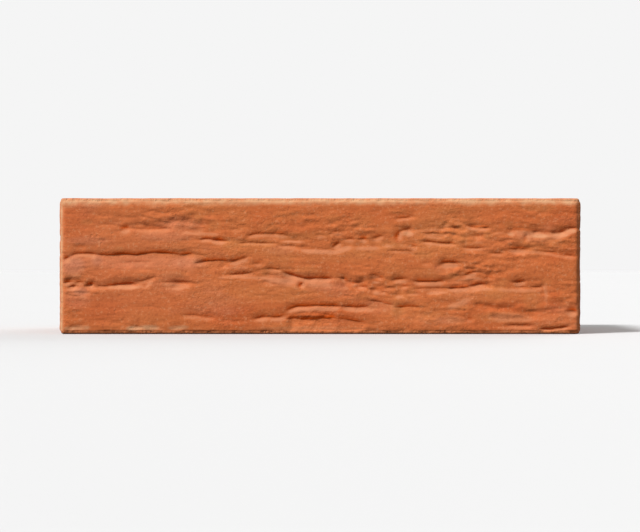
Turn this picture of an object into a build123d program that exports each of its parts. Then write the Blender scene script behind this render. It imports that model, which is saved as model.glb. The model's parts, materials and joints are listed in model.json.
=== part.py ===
"""A perforated facing brick of fired clay, 250 x 120 x 65 mm, as laid in stretcher bond.

Units are millimetres. X runs along the brick, +Z is up as laid, and the face that
shows in a wall, the front stretcher face, looks along -Y. The origin is the centre
of the lower bed face. The bark-like relief of the faces is not part of this solid:
its faces are the planes that the highest points of that relief touch.
"""

import os

from build123d import *

# Overall size of the fired brick
length = 250.0
width = 120.0
height = 65.0

# Rounded edges: the four upright corners left by the die, and the edges round each bed
corner_radius = 3.0
bed_edge_radius = 2.0

# Perforation: a straight grid of round holes through the brick from bed to bed
hole_diameter = 20.0
holes_along = 7
hole_rows = 3
end_shell = 16.0  # clay between a header face and the nearest hole
face_shell = 17.0  # clay between a stretcher face and the nearest row of holes

# Spacing of the holes, so that the outer shells keep their thickness
pitch_along = (length - 2 * end_shell - hole_diameter) / (holes_along - 1)
pitch_across = (width - 2 * face_shell - hole_diameter) / (hole_rows - 1)

# The clay column as it leaves the die, cut to the brick's height
with BuildPart() as brick:
    with BuildSketch(Plane.XY) as bed_outline:
        RectangleRounded(length, width, corner_radius)
    extrude(amount=height)

    # Soft edges round the upper and the lower bed
    edges_by_height = brick.edges().group_by(Axis.Z)
    fillet(edges_by_height[0] + edges_by_height[-1], bed_edge_radius)

    # Holes through the upper bed, the whole height of the brick
    with Locations(Plane.XY.offset(height)):
        with GridLocations(pitch_along, pitch_across, holes_along, hole_rows):
            Hole(radius=hole_diameter / 2)

brick.part.label = "brick"

os.makedirs("parts", exist_ok=True)
export_step(brick.part, "parts/brick.step")
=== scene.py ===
"""A perforated facing brick of fired clay with a torn, bark-like face, dressed round its frame.

Places are in metres and in the frame's axes: X runs along the brick, +Z is up as laid, and the
front looks along -Y. Relief is worked out face by face in millimetres, which MM turns to metres.
"""

import json
import logging
import math
from collections.abc import Iterator
from dataclasses import dataclass, field
from enum import Enum

import bmesh
import bpy
import numpy as np
from mathutils import Matrix, Vector


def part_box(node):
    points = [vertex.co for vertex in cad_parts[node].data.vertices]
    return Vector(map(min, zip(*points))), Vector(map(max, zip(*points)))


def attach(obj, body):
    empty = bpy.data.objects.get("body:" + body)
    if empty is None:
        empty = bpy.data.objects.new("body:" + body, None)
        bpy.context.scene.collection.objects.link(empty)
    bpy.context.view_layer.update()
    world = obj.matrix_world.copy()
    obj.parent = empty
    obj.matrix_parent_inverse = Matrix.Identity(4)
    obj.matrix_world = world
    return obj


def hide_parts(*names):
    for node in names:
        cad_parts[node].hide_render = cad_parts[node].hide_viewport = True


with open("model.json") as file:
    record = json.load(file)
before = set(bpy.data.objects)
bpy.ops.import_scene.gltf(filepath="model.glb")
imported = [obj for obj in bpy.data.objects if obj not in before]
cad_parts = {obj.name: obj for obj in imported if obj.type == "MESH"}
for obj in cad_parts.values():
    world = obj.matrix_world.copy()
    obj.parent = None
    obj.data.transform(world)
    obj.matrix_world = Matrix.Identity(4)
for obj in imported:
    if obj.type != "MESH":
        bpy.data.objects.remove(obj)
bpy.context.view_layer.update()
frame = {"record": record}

LOG = logging.getLogger("clay_brick")
MM = 0.001
TIGHTEST_CORNER = 0.3 * MM

# The marks that the mesh stores for its painted light: torn for painted shade on the creases' undersides
# and lit for painted highlight on the slopes that turn up to the lamp, besides those of the tones and the
# skins
CREASE_SHADE = "torn"
LIT = "lit"

Colour = tuple[float, float, float]
Point = tuple[float, float]
Socket = bpy.types.NodeSocket
Array = np.ndarray


class Side(Enum):
    """An upright face of the brick, by the direction in plan that it looks in."""

    FRONT = (0.0, -1.0)
    RIGHT = (1.0, 0.0)
    BACK = (0.0, 1.0)
    LEFT = (-1.0, 0.0)

    def facing(self, x: Array, y: Array) -> Array:
        """How far each direction or place in plan lies out towards this side."""
        return x * self.value[0] + y * self.value[1]

    def rightward(self, x: Array, y: Array) -> Array:
        """How far each place lies to the right for someone who looks at this side."""
        return y * self.value[0] - x * self.value[1]


class Crease(Enum):
    """The kinds of line in the bark."""

    TEAR = "torn open, with the upper lip over the lower"
    OVERLAP = "the upper skin laps over the lower, which runs out evenly from under it"
    LEDGE = "a soft step outwards on the way down, without an opening"
    HOLLOW = "a soft, wide valley"


class Tone(Enum):
    """The patches of other colours on the front face, by the names of their marks."""

    REDDER = "redder"
    SANDIER = "sandier"
    PALER = "paler"
    WORN_AND_LIT = "wear"


class Skin(Enum):
    """How the clay of a face was left before it was fired, by the name of its mark."""

    BARK = "bark_skin"
    DIE = "die_skin"
    WIRE_CUT = "wire_cut"
    BORE = "bore_wall"


@dataclass(frozen=True)
class BrickSize:
    """The sizes of the brick in metres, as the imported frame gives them."""

    length: float
    width: float
    height: float
    hole_radius: float
    pitch_along: float
    pitch_across: float
    holes_along: int
    hole_rows: int
    corner_radius: float = 3.0 * MM
    edge_radius: float = 2.0 * MM

    @classmethod
    def from_frame(cls) -> "BrickSize":
        """Reads the block's box and the grid of holes from the frame.

        Returns:
            The brick's sizes, with the holes' pitch taken between neighbouring bores.
        """
        low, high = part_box("brick")
        bores = {m["name"]: m for m in frame["record"]["mounts"] if m["kind"] == "bore"}
        first, second = bores["hole_front_1"], bores["hole_front_2"]
        middle, last = bores["hole_middle_1"], bores["hole_front_7"]
        pitch_along = second["pos_m"][0] - first["pos_m"][0]
        pitch_across = middle["pos_m"][1] - first["pos_m"][1]
        span = last["pos_m"][0] - first["pos_m"][0]
        return cls(
            length=high.x - low.x,
            width=high.y - low.y,
            height=high.z - low.z,
            hole_radius=first["dims"]["r_mm"] * MM,
            pitch_along=pitch_along,
            pitch_across=pitch_across,
            holes_along=round(span / pitch_along) + 1,
            hole_rows=round(-2 * first["pos_m"][1] / pitch_across) + 1,
        )

    def hole_centres(self) -> list[Point]:
        """Lays out the grid of holes.

        Returns:
            The plan centres of the holes, row by row.
        """
        return [
            (
                (column - (self.holes_along - 1) / 2) * self.pitch_along,
                (row - (self.hole_rows - 1) / 2) * self.pitch_across,
            )
            for row in range(self.hole_rows)
            for column in range(self.holes_along)
        ]

    def side_length(self, side: Side) -> float:
        """The length of an upright face, header or stretcher."""
        return self.length if side in (Side.FRONT, Side.BACK) else self.width


def smooth_step(value: Array, low: float, high: float) -> Array:
    """Rises softly from 0 where value is low to 1 where it is high.

    Args:
        value: The numbers to grade.
        low: The value that gives 0.
        high: The value that gives 1; it may be the smaller one.

    Returns:
        A share from 0 to 1 for each value.
    """
    share = np.clip((value - low) / (high - low), 0.0, 1.0)
    return share * share * (3.0 - 2.0 * share)


class SmoothNoise:
    """Seeded gradient noise on a plane, from about -1 to 1, the same at every run."""

    # Brings the sum up to about -1 to 1, and keeps the finer layers from lining up with the coarse
    SPREAD = 1.5
    LAYER_SHIFT = (17.3, 31.7)

    def __init__(self, seed: int, cells: int = 128) -> None:
        """Draws the slopes at the corners of a square of cells that repeats.

        Args:
            seed: The seed of the draw.
            cells: How many cells long and wide the pattern is before it repeats.
        """
        turns = np.random.default_rng(seed).uniform(0.0, 2.0 * math.pi, (cells, cells))
        self.slopes = np.stack((np.cos(turns), np.sin(turns)))
        self.cells = cells

    def at(self, u: Array, v: Array) -> Array:
        """The noise at each place, where one unit of u or v is one cell.

        Args:
            u: Places along the first axis, in cells.
            v: Places along the second axis, in cells.

        Returns:
            One number for each place.
        """
        column, row = np.floor(u).astype(int), np.floor(v).astype(int)
        du, dv = u - column, v - row

        def corner(right: int, up: int) -> Array:
            """The slope of one corner of each place's cell, followed to the place."""
            slope = self.slopes[:, (column + right) % self.cells, (row + up) % self.cells]
            return slope[0] * (du - right) + slope[1] * (dv - up)

        fade_u = du**3 * (du * (du * 6.0 - 15.0) + 10.0)
        fade_v = dv**3 * (dv * (dv * 6.0 - 15.0) + 10.0)
        below = corner(0, 0) * (1.0 - fade_u) + corner(1, 0) * fade_u
        above = corner(0, 1) * (1.0 - fade_u) + corner(1, 1) * fade_u
        return self.SPREAD * (below * (1.0 - fade_v) + above * fade_v)

    def layered(self, u: Array, v: Array, layers: int = 3) -> Array:
        """Adds finer and fainter copies of the noise, each at twice the detail.

        Args:
            u: Places along the first axis, in cells of the coarsest copy.
            v: Places along the second axis, in the same cells.
            layers: How many copies there are.

        Returns:
            One number for each place, still from about -1 to 1.
        """
        along, up = self.LAYER_SHIFT
        total = np.zeros_like(u)
        for layer in range(layers):
            finer = 2.0**layer
            total += self.at(u * finer + along * layer, v * finer + up * layer) / finer
        return total / (2.0 - 2.0 ** (1 - layers))


@dataclass(frozen=True)
class Grain:
    """A noise over a surface: its draw, its cells in millimetres, its layers, shift and amount."""

    draw: int
    long: float
    high: float
    layers: int = 3
    shift: Point = (0.0, 0.0)
    amount: float = 1.0

    def over(self, u: Array, v: Array, seed: int = 0,
             push: tuple[Array | float, Array | float] = (0.0, 0.0)) -> Array:
        """The noise at each place, times its amount.

        Args:
            u: Places along the surface, in millimetres.
            v: Places up the surface, in millimetres.
            seed: The seed of the face, to which the draw is added.
            push: How many cells each place is moved along and up, past the shift.

        Returns:
            One number for each place, from about minus to plus the amount.
        """
        along = u / self.long + self.shift[0] + push[0]
        up = v / self.high + self.shift[1] + push[1]
        return self.amount * SmoothNoise(seed + self.draw).layered(along, up, self.layers)


@dataclass(frozen=True)
class Section:
    """The section across a crease, how much painted shade its underside takes, and how strongly its lit
    slope takes painted highlight.

    Places are millimetres above the crease's line, and shares are parts of the full depth. Past
    the outermost places the depth runs out softly to the crease's reach.
    """

    depth: float
    places: tuple[float, ...]
    shares: tuple[float, ...]
    painted_shade_amount: float = 0.0
    brightened: float = 1.0
    fade_power: float = 1.5

    def share(self, distance: Array, reach: float) -> Array:
        """The share of the full depth at a distance above the line, or below it if negative.

        Args:
            distance: Millimetres above the line.
            reach: How far from the line its slopes run out.

        Returns:
            A share of the full depth for each distance.
        """
        lowest, highest = self.places[0], self.places[-1]
        under = distance < lowest
        below = (reach + distance) / (reach + lowest)
        above = (reach - distance) / (reach - highest)
        run_out = np.where(under, below, above)
        start = np.where(under, self.shares[0], self.shares[-1])
        tail = start * np.clip(run_out, 0.0, 1.0) ** self.fade_power
        return np.where(under | (distance > highest), tail, np.interp(distance, self.places, self.shares))

    def rise(self, distance: Array, reach: float, step: float = 0.45) -> Array:
        """How fast the section comes back out on the way down, where it turns up to the light."""
        risen = self.share(distance + step, reach) - self.share(distance - step, reach)
        return self.brightened * np.clip(risen, 0.0, 1.0)

    def painted_shade(self, distance: Array, reach: float) -> Array:
        """How much painted shade, deep red, the crease takes on its steep underside, from the lip down to
        its bottom.
        """
        bottom, lip = -0.35, 0.15
        return self.painted_shade_amount * self.share(distance, reach) * smooth_step(distance, bottom, lip)


SECTIONS = {
    Crease.TEAR: Section(
        0.95,
        (-3.0, -2.2, -1.6, -1.1, -0.6, -0.25, 0.1, 0.6, 1.4, 2.8),
        (0.05, 0.13, 0.32, 0.64, 0.97, 1.0, 0.66, 0.42, 0.19, 0.0),
        painted_shade_amount=1.0,
    ),
    Crease.OVERLAP: Section(
        0.95,
        (-9.0, -6.4, -4.0, -2.0, -0.6, -0.2, 0.1, 0.6, 1.4, 2.8),
        (0.0, 0.20, 0.46, 0.76, 0.98, 1.0, 0.66, 0.42, 0.19, 0.0),
        painted_shade_amount=1.0,
        brightened=0.5,
    ),
    Crease.LEDGE: Section(0.8, (-1.0, -0.6, 0.0, 0.6, 1.0), (0.0, 0.14, 0.52, 0.90, 1.0)),
    Crease.HOLLOW: Section(
        0.45,
        (-3.2, -2.4, -1.0, 0.0, 0.8, 1.8, 2.6),
        (0.0, 0.1, 0.72, 1.0, 0.8, 0.2, 0.0),
        painted_shade_amount=0.25,
        brightened=0.0,
    ),
}


@dataclass(frozen=True)
class Tear:
    """One line in the bark, by its strength from 0 to 1 and the points that it runs through.

    Places are in millimetres, along the face from its left edge and up from the lower bed.
    """

    strength: float
    points: tuple[Point, ...]
    width: float = 1.0
    reach: float = 5.0
    kind: Crease = Crease.TEAR

    def path(self, step: float = 1.2) -> Array:
        """Runs a smooth line through the points.

        Args:
            step: How far apart the line's places are at most, in millimetres.

        Returns:
            The places, one row each.
        """
        knots = np.array(self.points)
        ends = (2 * knots[0] - knots[1], *knots, 2 * knots[-1] - knots[-2])
        placed = [knots[:1]]
        for before, start, end, after in zip(ends, ends[1:], ends[2:], ends[3:]):
            count = max(1, math.ceil(float(np.hypot(*(end - start))) / step))
            t = np.arange(1, count + 1)[:, None] / count
            bend = 2 * before - 5 * start + 4 * end - after
            turn = 3 * start - before - 3 * end + after
            placed.append(start + 0.5 * t * ((end - before) + t * (bend + t * turn)))
        return np.concatenate(placed)


def tear(strength: float, *points: Point, width: float = 1.0) -> Tear:
    """An open tear through the points."""
    return Tear(strength, points, width)


def overlap(strength: float, *points: Point, width: float = 1.0) -> Tear:
    """An overlap along the points."""
    return Tear(strength, points, width, reach=10.0, kind=Crease.OVERLAP)


def ledge(strength: float, *points: Point, width: float = 1.0) -> Tear:
    """A soft ledge through the points."""
    return Tear(strength, points, width, reach=7.0, kind=Crease.LEDGE)


def hollow(strength: float, *points: Point, width: float = 1.0) -> Tear:
    """A soft valley through the points."""
    return Tear(strength, points, width, kind=Crease.HOLLOW)


def place_on_path(u: Array, v: Array, path: Array) -> tuple[Array, Array]:
    """Finds how each place lies to a line that runs from left to right.

    Args:
        u: Places along the face.
        v: Heights on the face.
        path: The line's points, one row each.

    Returns:
        The distance to the line, above it positive, and the length of line before the nearest
        point.
    """
    start, run = path[:-1], np.diff(path, axis=0)
    run_length = np.hypot(run[:, 0], run[:, 1])
    du, dv = u[:, None] - start[:, 0], v[:, None] - start[:, 1]
    share = np.clip((du * run[:, 0] + dv * run[:, 1]) / run_length**2, 0.0, 1.0)
    off_u, off_v = du - share * run[:, 0], dv - share * run[:, 1]
    distance = np.hypot(off_u, off_v)
    nearest = np.argmin(distance, axis=1)
    rows = np.arange(len(u))
    above = run[nearest, 0] * off_v[rows, nearest] - run[nearest, 1] * off_u[rows, nearest]
    before = np.concatenate(([0.0], np.cumsum(run_length)))[nearest]
    along = before + share[rows, nearest] * run_length[nearest]
    return distance[rows, nearest] * np.sign(above), along


# The creases of the front face, most of them tears and overlaps, in bands from the upper edge
# down, each from left to right.
FRONT_TEARS = (
    # Under the upper edge
    tear(0.3, (148.5, 59.4), (152.0, 59.3), (155.4, 58.8)),
    tear(0.7, (158.8, 55.5), (162.0, 56.1), (165.3, 56.3), (169.5, 57.3), width=1.2),
    overlap(0.35, (48.0, 54.0), (55.7, 54.8), (61.6, 55.6), (64.0, 58.5), width=1.3),
    tear(1.0, (27.6, 50.3), (30.4, 51.1), (34.8, 51.3), width=1.6),
    tear(0.5, (34.0, 51.1), (43.3, 50.9), (53.5, 51.5), width=1.5),
    tear(0.5, (61.6, 50.9), (66.0, 51.2), (71.0, 51.6), width=1.2),
    tear(0.4, (80.4, 51.8), (84.4, 51.2), (88.0, 51.6), width=1.4),
    tear(0.75, (88.8, 45.6), (90.2, 47.2), (93.4, 48.4), (98.2, 48.7), (104.8, 48.6), (110.0, 47.4)),
    tear(0.55, (128.5, 48.8), (133.0, 49.6), (137.0, 50.2), width=1.2),
    tear(0.4, (136.4, 50.6), (137.4, 53.2), (140.0, 55.0), (143.8, 54.8), width=0.8),
    tear(0.35, (184.4, 55.6), (186.0, 56.4), (188.6, 56.4), (191.2, 55.2), (193.0, 52.6), width=0.8),
    tear(0.5, (187.0, 50.8), (188.4, 51.6), (190.0, 51.0)),
    tear(0.8, (192.6, 52.8), (197.0, 52.0), (201.4, 51.6), (206.6, 51.9)),
    # The upper third
    tear(1.2, (160.6, 44.4), (161.1, 47.0), (162.2, 49.6), (164.0, 50.6), width=1.3),
    tear(0.9, (161.0, 49.7), (165.4, 50.7), (169.6, 51.4), width=1.1),
    tear(0.65, (166.2, 43.4), (169.0, 42.8), (172.0, 42.6), width=1.4),
    tear(0.55, (213.5, 50.4), (218.9, 50.5), (224.0, 50.0), (229.6, 49.6), (234.4, 49.3), (240.0, 49.3),
         width=1.2),
    tear(0.9, (237.6, 48.9), (239.8, 49.3), (242.4, 50.0), width=0.9),
    tear(0.5, (240.8, 50.5), (243.8, 51.1), (249.0, 51.6), width=0.8),
    tear(1.2, (65.8, 45.8), (70.0, 46.3), (74.6, 46.2)),
    tear(1.3, (71.6, 45.5), (76.0, 45.6), (80.6, 45.1), width=1.2),
    tear(0.7, (84.2, 44.2), (96.4, 44.2), (105.2, 43.8), width=0.65),
    tear(0.35, (104.5, 42.8), (111.5, 42.6), (119.0, 42.2), width=0.8),
    tear(1.0, (129.0, 42.0), (131.2, 42.9), (133.0, 44.0), (134.8, 44.8), width=1.25),
    tear(0.8, (135.0, 45.9), (139.0, 46.3), (142.2, 46.2), width=1.2),
    tear(1.0, (142.2, 45.6), (145.0, 46.4), (147.6, 46.0), width=1.3),
    tear(0.8, (148.0, 46.6), (151.0, 46.8), (155.6, 48.2), width=1.3),
    tear(0.5, (156.0, 40.4), (162.8, 40.6), (170.0, 40.2), width=0.9),
    tear(0.8, (171.6, 44.8), (177.0, 44.6), (183.0, 44.1), (190.4, 43.6), width=0.9),
    tear(0.55, (171.0, 48.8), (178.0, 48.8), (187.0, 48.6), width=0.8),
    tear(0.5, (195.5, 48.2), (199.4, 47.6), (203.5, 48.3)),
    tear(0.8, (191.6, 42.3), (197.8, 41.7), (204.0, 42.2)),
    tear(0.5, (203.8, 39.4), (209.5, 39.4), (213.2, 39.8)),
    tear(0.8, (212.8, 40.7), (215.6, 41.5), (220.8, 41.5), (225.4, 41.0), width=1.25),
    tear(0.4, (234.8, 43.0), (238.0, 43.2), (241.2, 43.0)),
    tear(0.7, (221.6, 44.4), (222.4, 46.4), (222.8, 48.4), width=1.2),
    overlap(0.45, (225.4, 40.6), (231.3, 40.2), (238.8, 39.6)),
    tear(0.6, (238.0, 39.2), (243.0, 38.4), (248.0, 37.4), width=1.1),
    # The long creases across the middle
    tear(1.1, (1.2, 36.0), (3.4, 36.8), (5.4, 38.0), width=1.2),
    tear(0.95, (4.4, 37.5), (7.2, 38.7), (10.5, 39.2), (15.2, 39.1), (19.8, 38.6), width=1.1),
    overlap(1.2, (17.4, 39.0), (22.4, 38.4), (30.0, 38.7), (36.4, 38.4), (42.7, 39.3), (48.9, 39.5),
            (54.0, 39.1), (58.6, 38.6), width=1.2),
    overlap(1.3, (55.6, 38.4), (59.2, 38.8), (61.6, 38.9), (65.0, 38.6), width=1.3),
    hollow(1.2, (6.4, 41.6), (9.4, 42.2), (13.6, 41.4)),
    tear(0.4, (63.0, 39.3), (66.0, 38.7), (70.0, 38.2)),
    tear(0.6, (64.0, 33.8), (66.6, 34.9), (70.0, 35.6)),
    overlap(1.1, (66.0, 34.8), (71.0, 35.7), (76.6, 35.7), (82.0, 35.5), width=1.3),
    tear(0.95, (79.6, 34.6), (84.6, 36.0), (91.0, 38.0), width=1.25),
    tear(0.6, (91.4, 34.4), (95.0, 34.8), (98.4, 34.9), width=1.2),
    tear(1.05, (180.2, 33.4), (182.4, 34.6), (186.6, 35.0), (191.6, 34.5), width=1.4),
    tear(0.4, (171.8, 34.4), (175.0, 34.7), (178.0, 34.6)),
    tear(0.75, (79.6, 29.0), (84.0, 29.3), (90.0, 29.8), (94.4, 30.4), width=0.85),
    tear(0.4, (92.2, 30.6), (95.6, 31.2), (99.0, 32.0), width=0.9),
    tear(0.7, (97.0, 31.8), (100.4, 32.1), (104.0, 31.7), (107.4, 30.8), width=0.9),
    tear(0.35, (95.6, 29.4), (100.0, 29.2), (104.2, 28.8), width=0.7),
    tear(1.1, (105.8, 30.8), (109.0, 29.7), (113.2, 28.2), (118.4, 27.3), (124.0, 27.3), (131.4, 27.4),
         width=1.15),
    tear(0.5, (131.0, 27.6), (134.0, 27.5), (137.0, 27.2), width=0.8),
    tear(0.8, (135.2, 28.6), (136.6, 26.8), (137.6, 25.0)),
    tear(1.2, (114.2, 22.6), (115.2, 24.2), (116.6, 25.8), width=1.2),
    tear(0.6, (137.6, 24.2), (140.4, 25.0), (144.6, 25.2)),
    tear(0.75, (151.0, 27.4), (153.2, 27.9), (155.4, 27.2)),
    tear(0.75, (161.8, 22.8), (164.4, 23.8), (167.4, 23.6)),
    tear(0.7, (143.6, 22.4), (145.2, 23.4), (147.4, 24.0)),
    tear(0.6, (146.8, 28.9), (150.0, 29.1), (154.0, 28.4)),
    tear(1.0, (158.0, 26.4), (161.6, 27.0), (167.0, 27.0), width=1.3),
    tear(0.7, (152.2, 20.4), (154.4, 21.0), (157.0, 20.6)),
    tear(1.05, (167.8, 26.1), (178.0, 25.9), (184.8, 26.0), width=1.2),
    tear(1.1, (192.6, 28.4), (194.4, 29.2), (196.4, 29.9), (199.4, 30.8), width=1.2),
    overlap(0.6, (201.6, 26.8), (203.2, 27.7), (205.4, 27.9), (208.6, 27.0)),
    tear(1.15, (215.4, 25.2), (217.8, 25.6), (220.4, 25.6), (222.8, 26.2), width=1.25),
    tear(0.5, (217.0, 23.0), (220.4, 23.2), (223.6, 23.0), width=0.8),
    tear(0.6, (223.4, 23.6), (229.0, 23.2), (231.6, 25.4)),
    # The broken row at the left, a faint line above it, and the like at the right
    tear(1.2, (0.8, 24.9), (3.4, 25.4), (6.8, 25.2), width=1.2),
    tear(0.7, (6.0, 25.4), (9.6, 25.5), (13.0, 26.2)),
    tear(0.7, (3.4, 23.2), (5.6, 23.5), (8.6, 23.4), width=0.7),
    tear(1.2, (12.4, 23.6), (14.6, 24.5), (17.4, 24.5), width=1.3),
    tear(0.6, (17.0, 24.0), (19.6, 23.6), (23.6, 23.6)),
    tear(0.4, (28.0, 35.0), (37.0, 35.3), (46.0, 35.1), width=1.3),
    tear(1.05, (20.8, 23.4), (25.6, 24.2), (31.0, 24.6), (37.4, 24.9), width=1.15),
    tear(0.6, (35.4, 25.4), (39.4, 26.0), (43.2, 27.2), (46.4, 28.6)),
    tear(0.65, (47.8, 25.5), (52.0, 25.7), (57.0, 25.3), (63.0, 25.3), width=1.25),
    tear(0.45, (146.4, 21.9), (153.0, 22.1), (157.0, 23.1), (161.0, 23.0)),
    tear(0.5, (168.4, 22.5), (175.0, 22.6), (181.8, 22.8), (186.0, 23.0)),
    tear(1.1, (184.0, 22.6), (188.8, 22.9), (193.0, 23.1), (197.4, 23.7), width=1.2),
    tear(0.85, (194.0, 23.8), (197.0, 24.1), (200.6, 24.7), (205.0, 24.5), width=1.2),
    # Towards the lower edge
    overlap(0.8, (147.0, 16.2), (151.4, 16.4), (155.6, 15.4), (160.4, 14.2), width=1.2),
    overlap(1.0, (159.6, 13.4), (165.0, 13.6), (172.6, 13.8), width=1.4),
    tear(0.95, (92.0, 7.8), (96.6, 8.8), (101.4, 9.3), width=1.3),
    tear(1.05, (99.0, 9.0), (104.4, 9.0), (109.0, 10.2), width=1.3),
    tear(1.1, (106.8, 11.0), (109.4, 12.5), (113.2, 13.8), (118.4, 14.2), (127.0, 14.3), (135.0, 14.1),
         width=1.25),
    tear(1.1, (134.0, 13.7), (141.7, 13.8), (148.4, 13.6), width=1.25),
    overlap(1.2, (107.4, 7.6), (110.0, 8.1), (115.4, 8.3), width=1.5),
    overlap(1.25, (112.6, 7.8), (118.0, 7.6), (122.6, 7.9), (127.0, 8.3), (133.4, 8.5), width=1.5),
    overlap(1.0, (131.6, 8.3), (137.0, 7.6), (142.0, 6.8), (147.0, 5.8), width=1.5),
    tear(0.6, (57.4, 9.7), (63.2, 9.9), (69.4, 9.2), (75.0, 9.0), width=1.2),
    tear(0.6, (193.0, 7.4), (195.2, 8.0), (198.0, 8.0), width=1.2),
    tear(0.6, (212.6, 4.9), (219.0, 5.0), (227.0, 4.7), width=0.9),
    tear(0.95, (228.4, 3.2), (233.4, 3.0), (238.4, 3.5), (244.0, 4.8)),
    tear(1.1, (240.6, 11.8), (244.0, 12.0), (249.0, 11.4), width=1.6),
)

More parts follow.
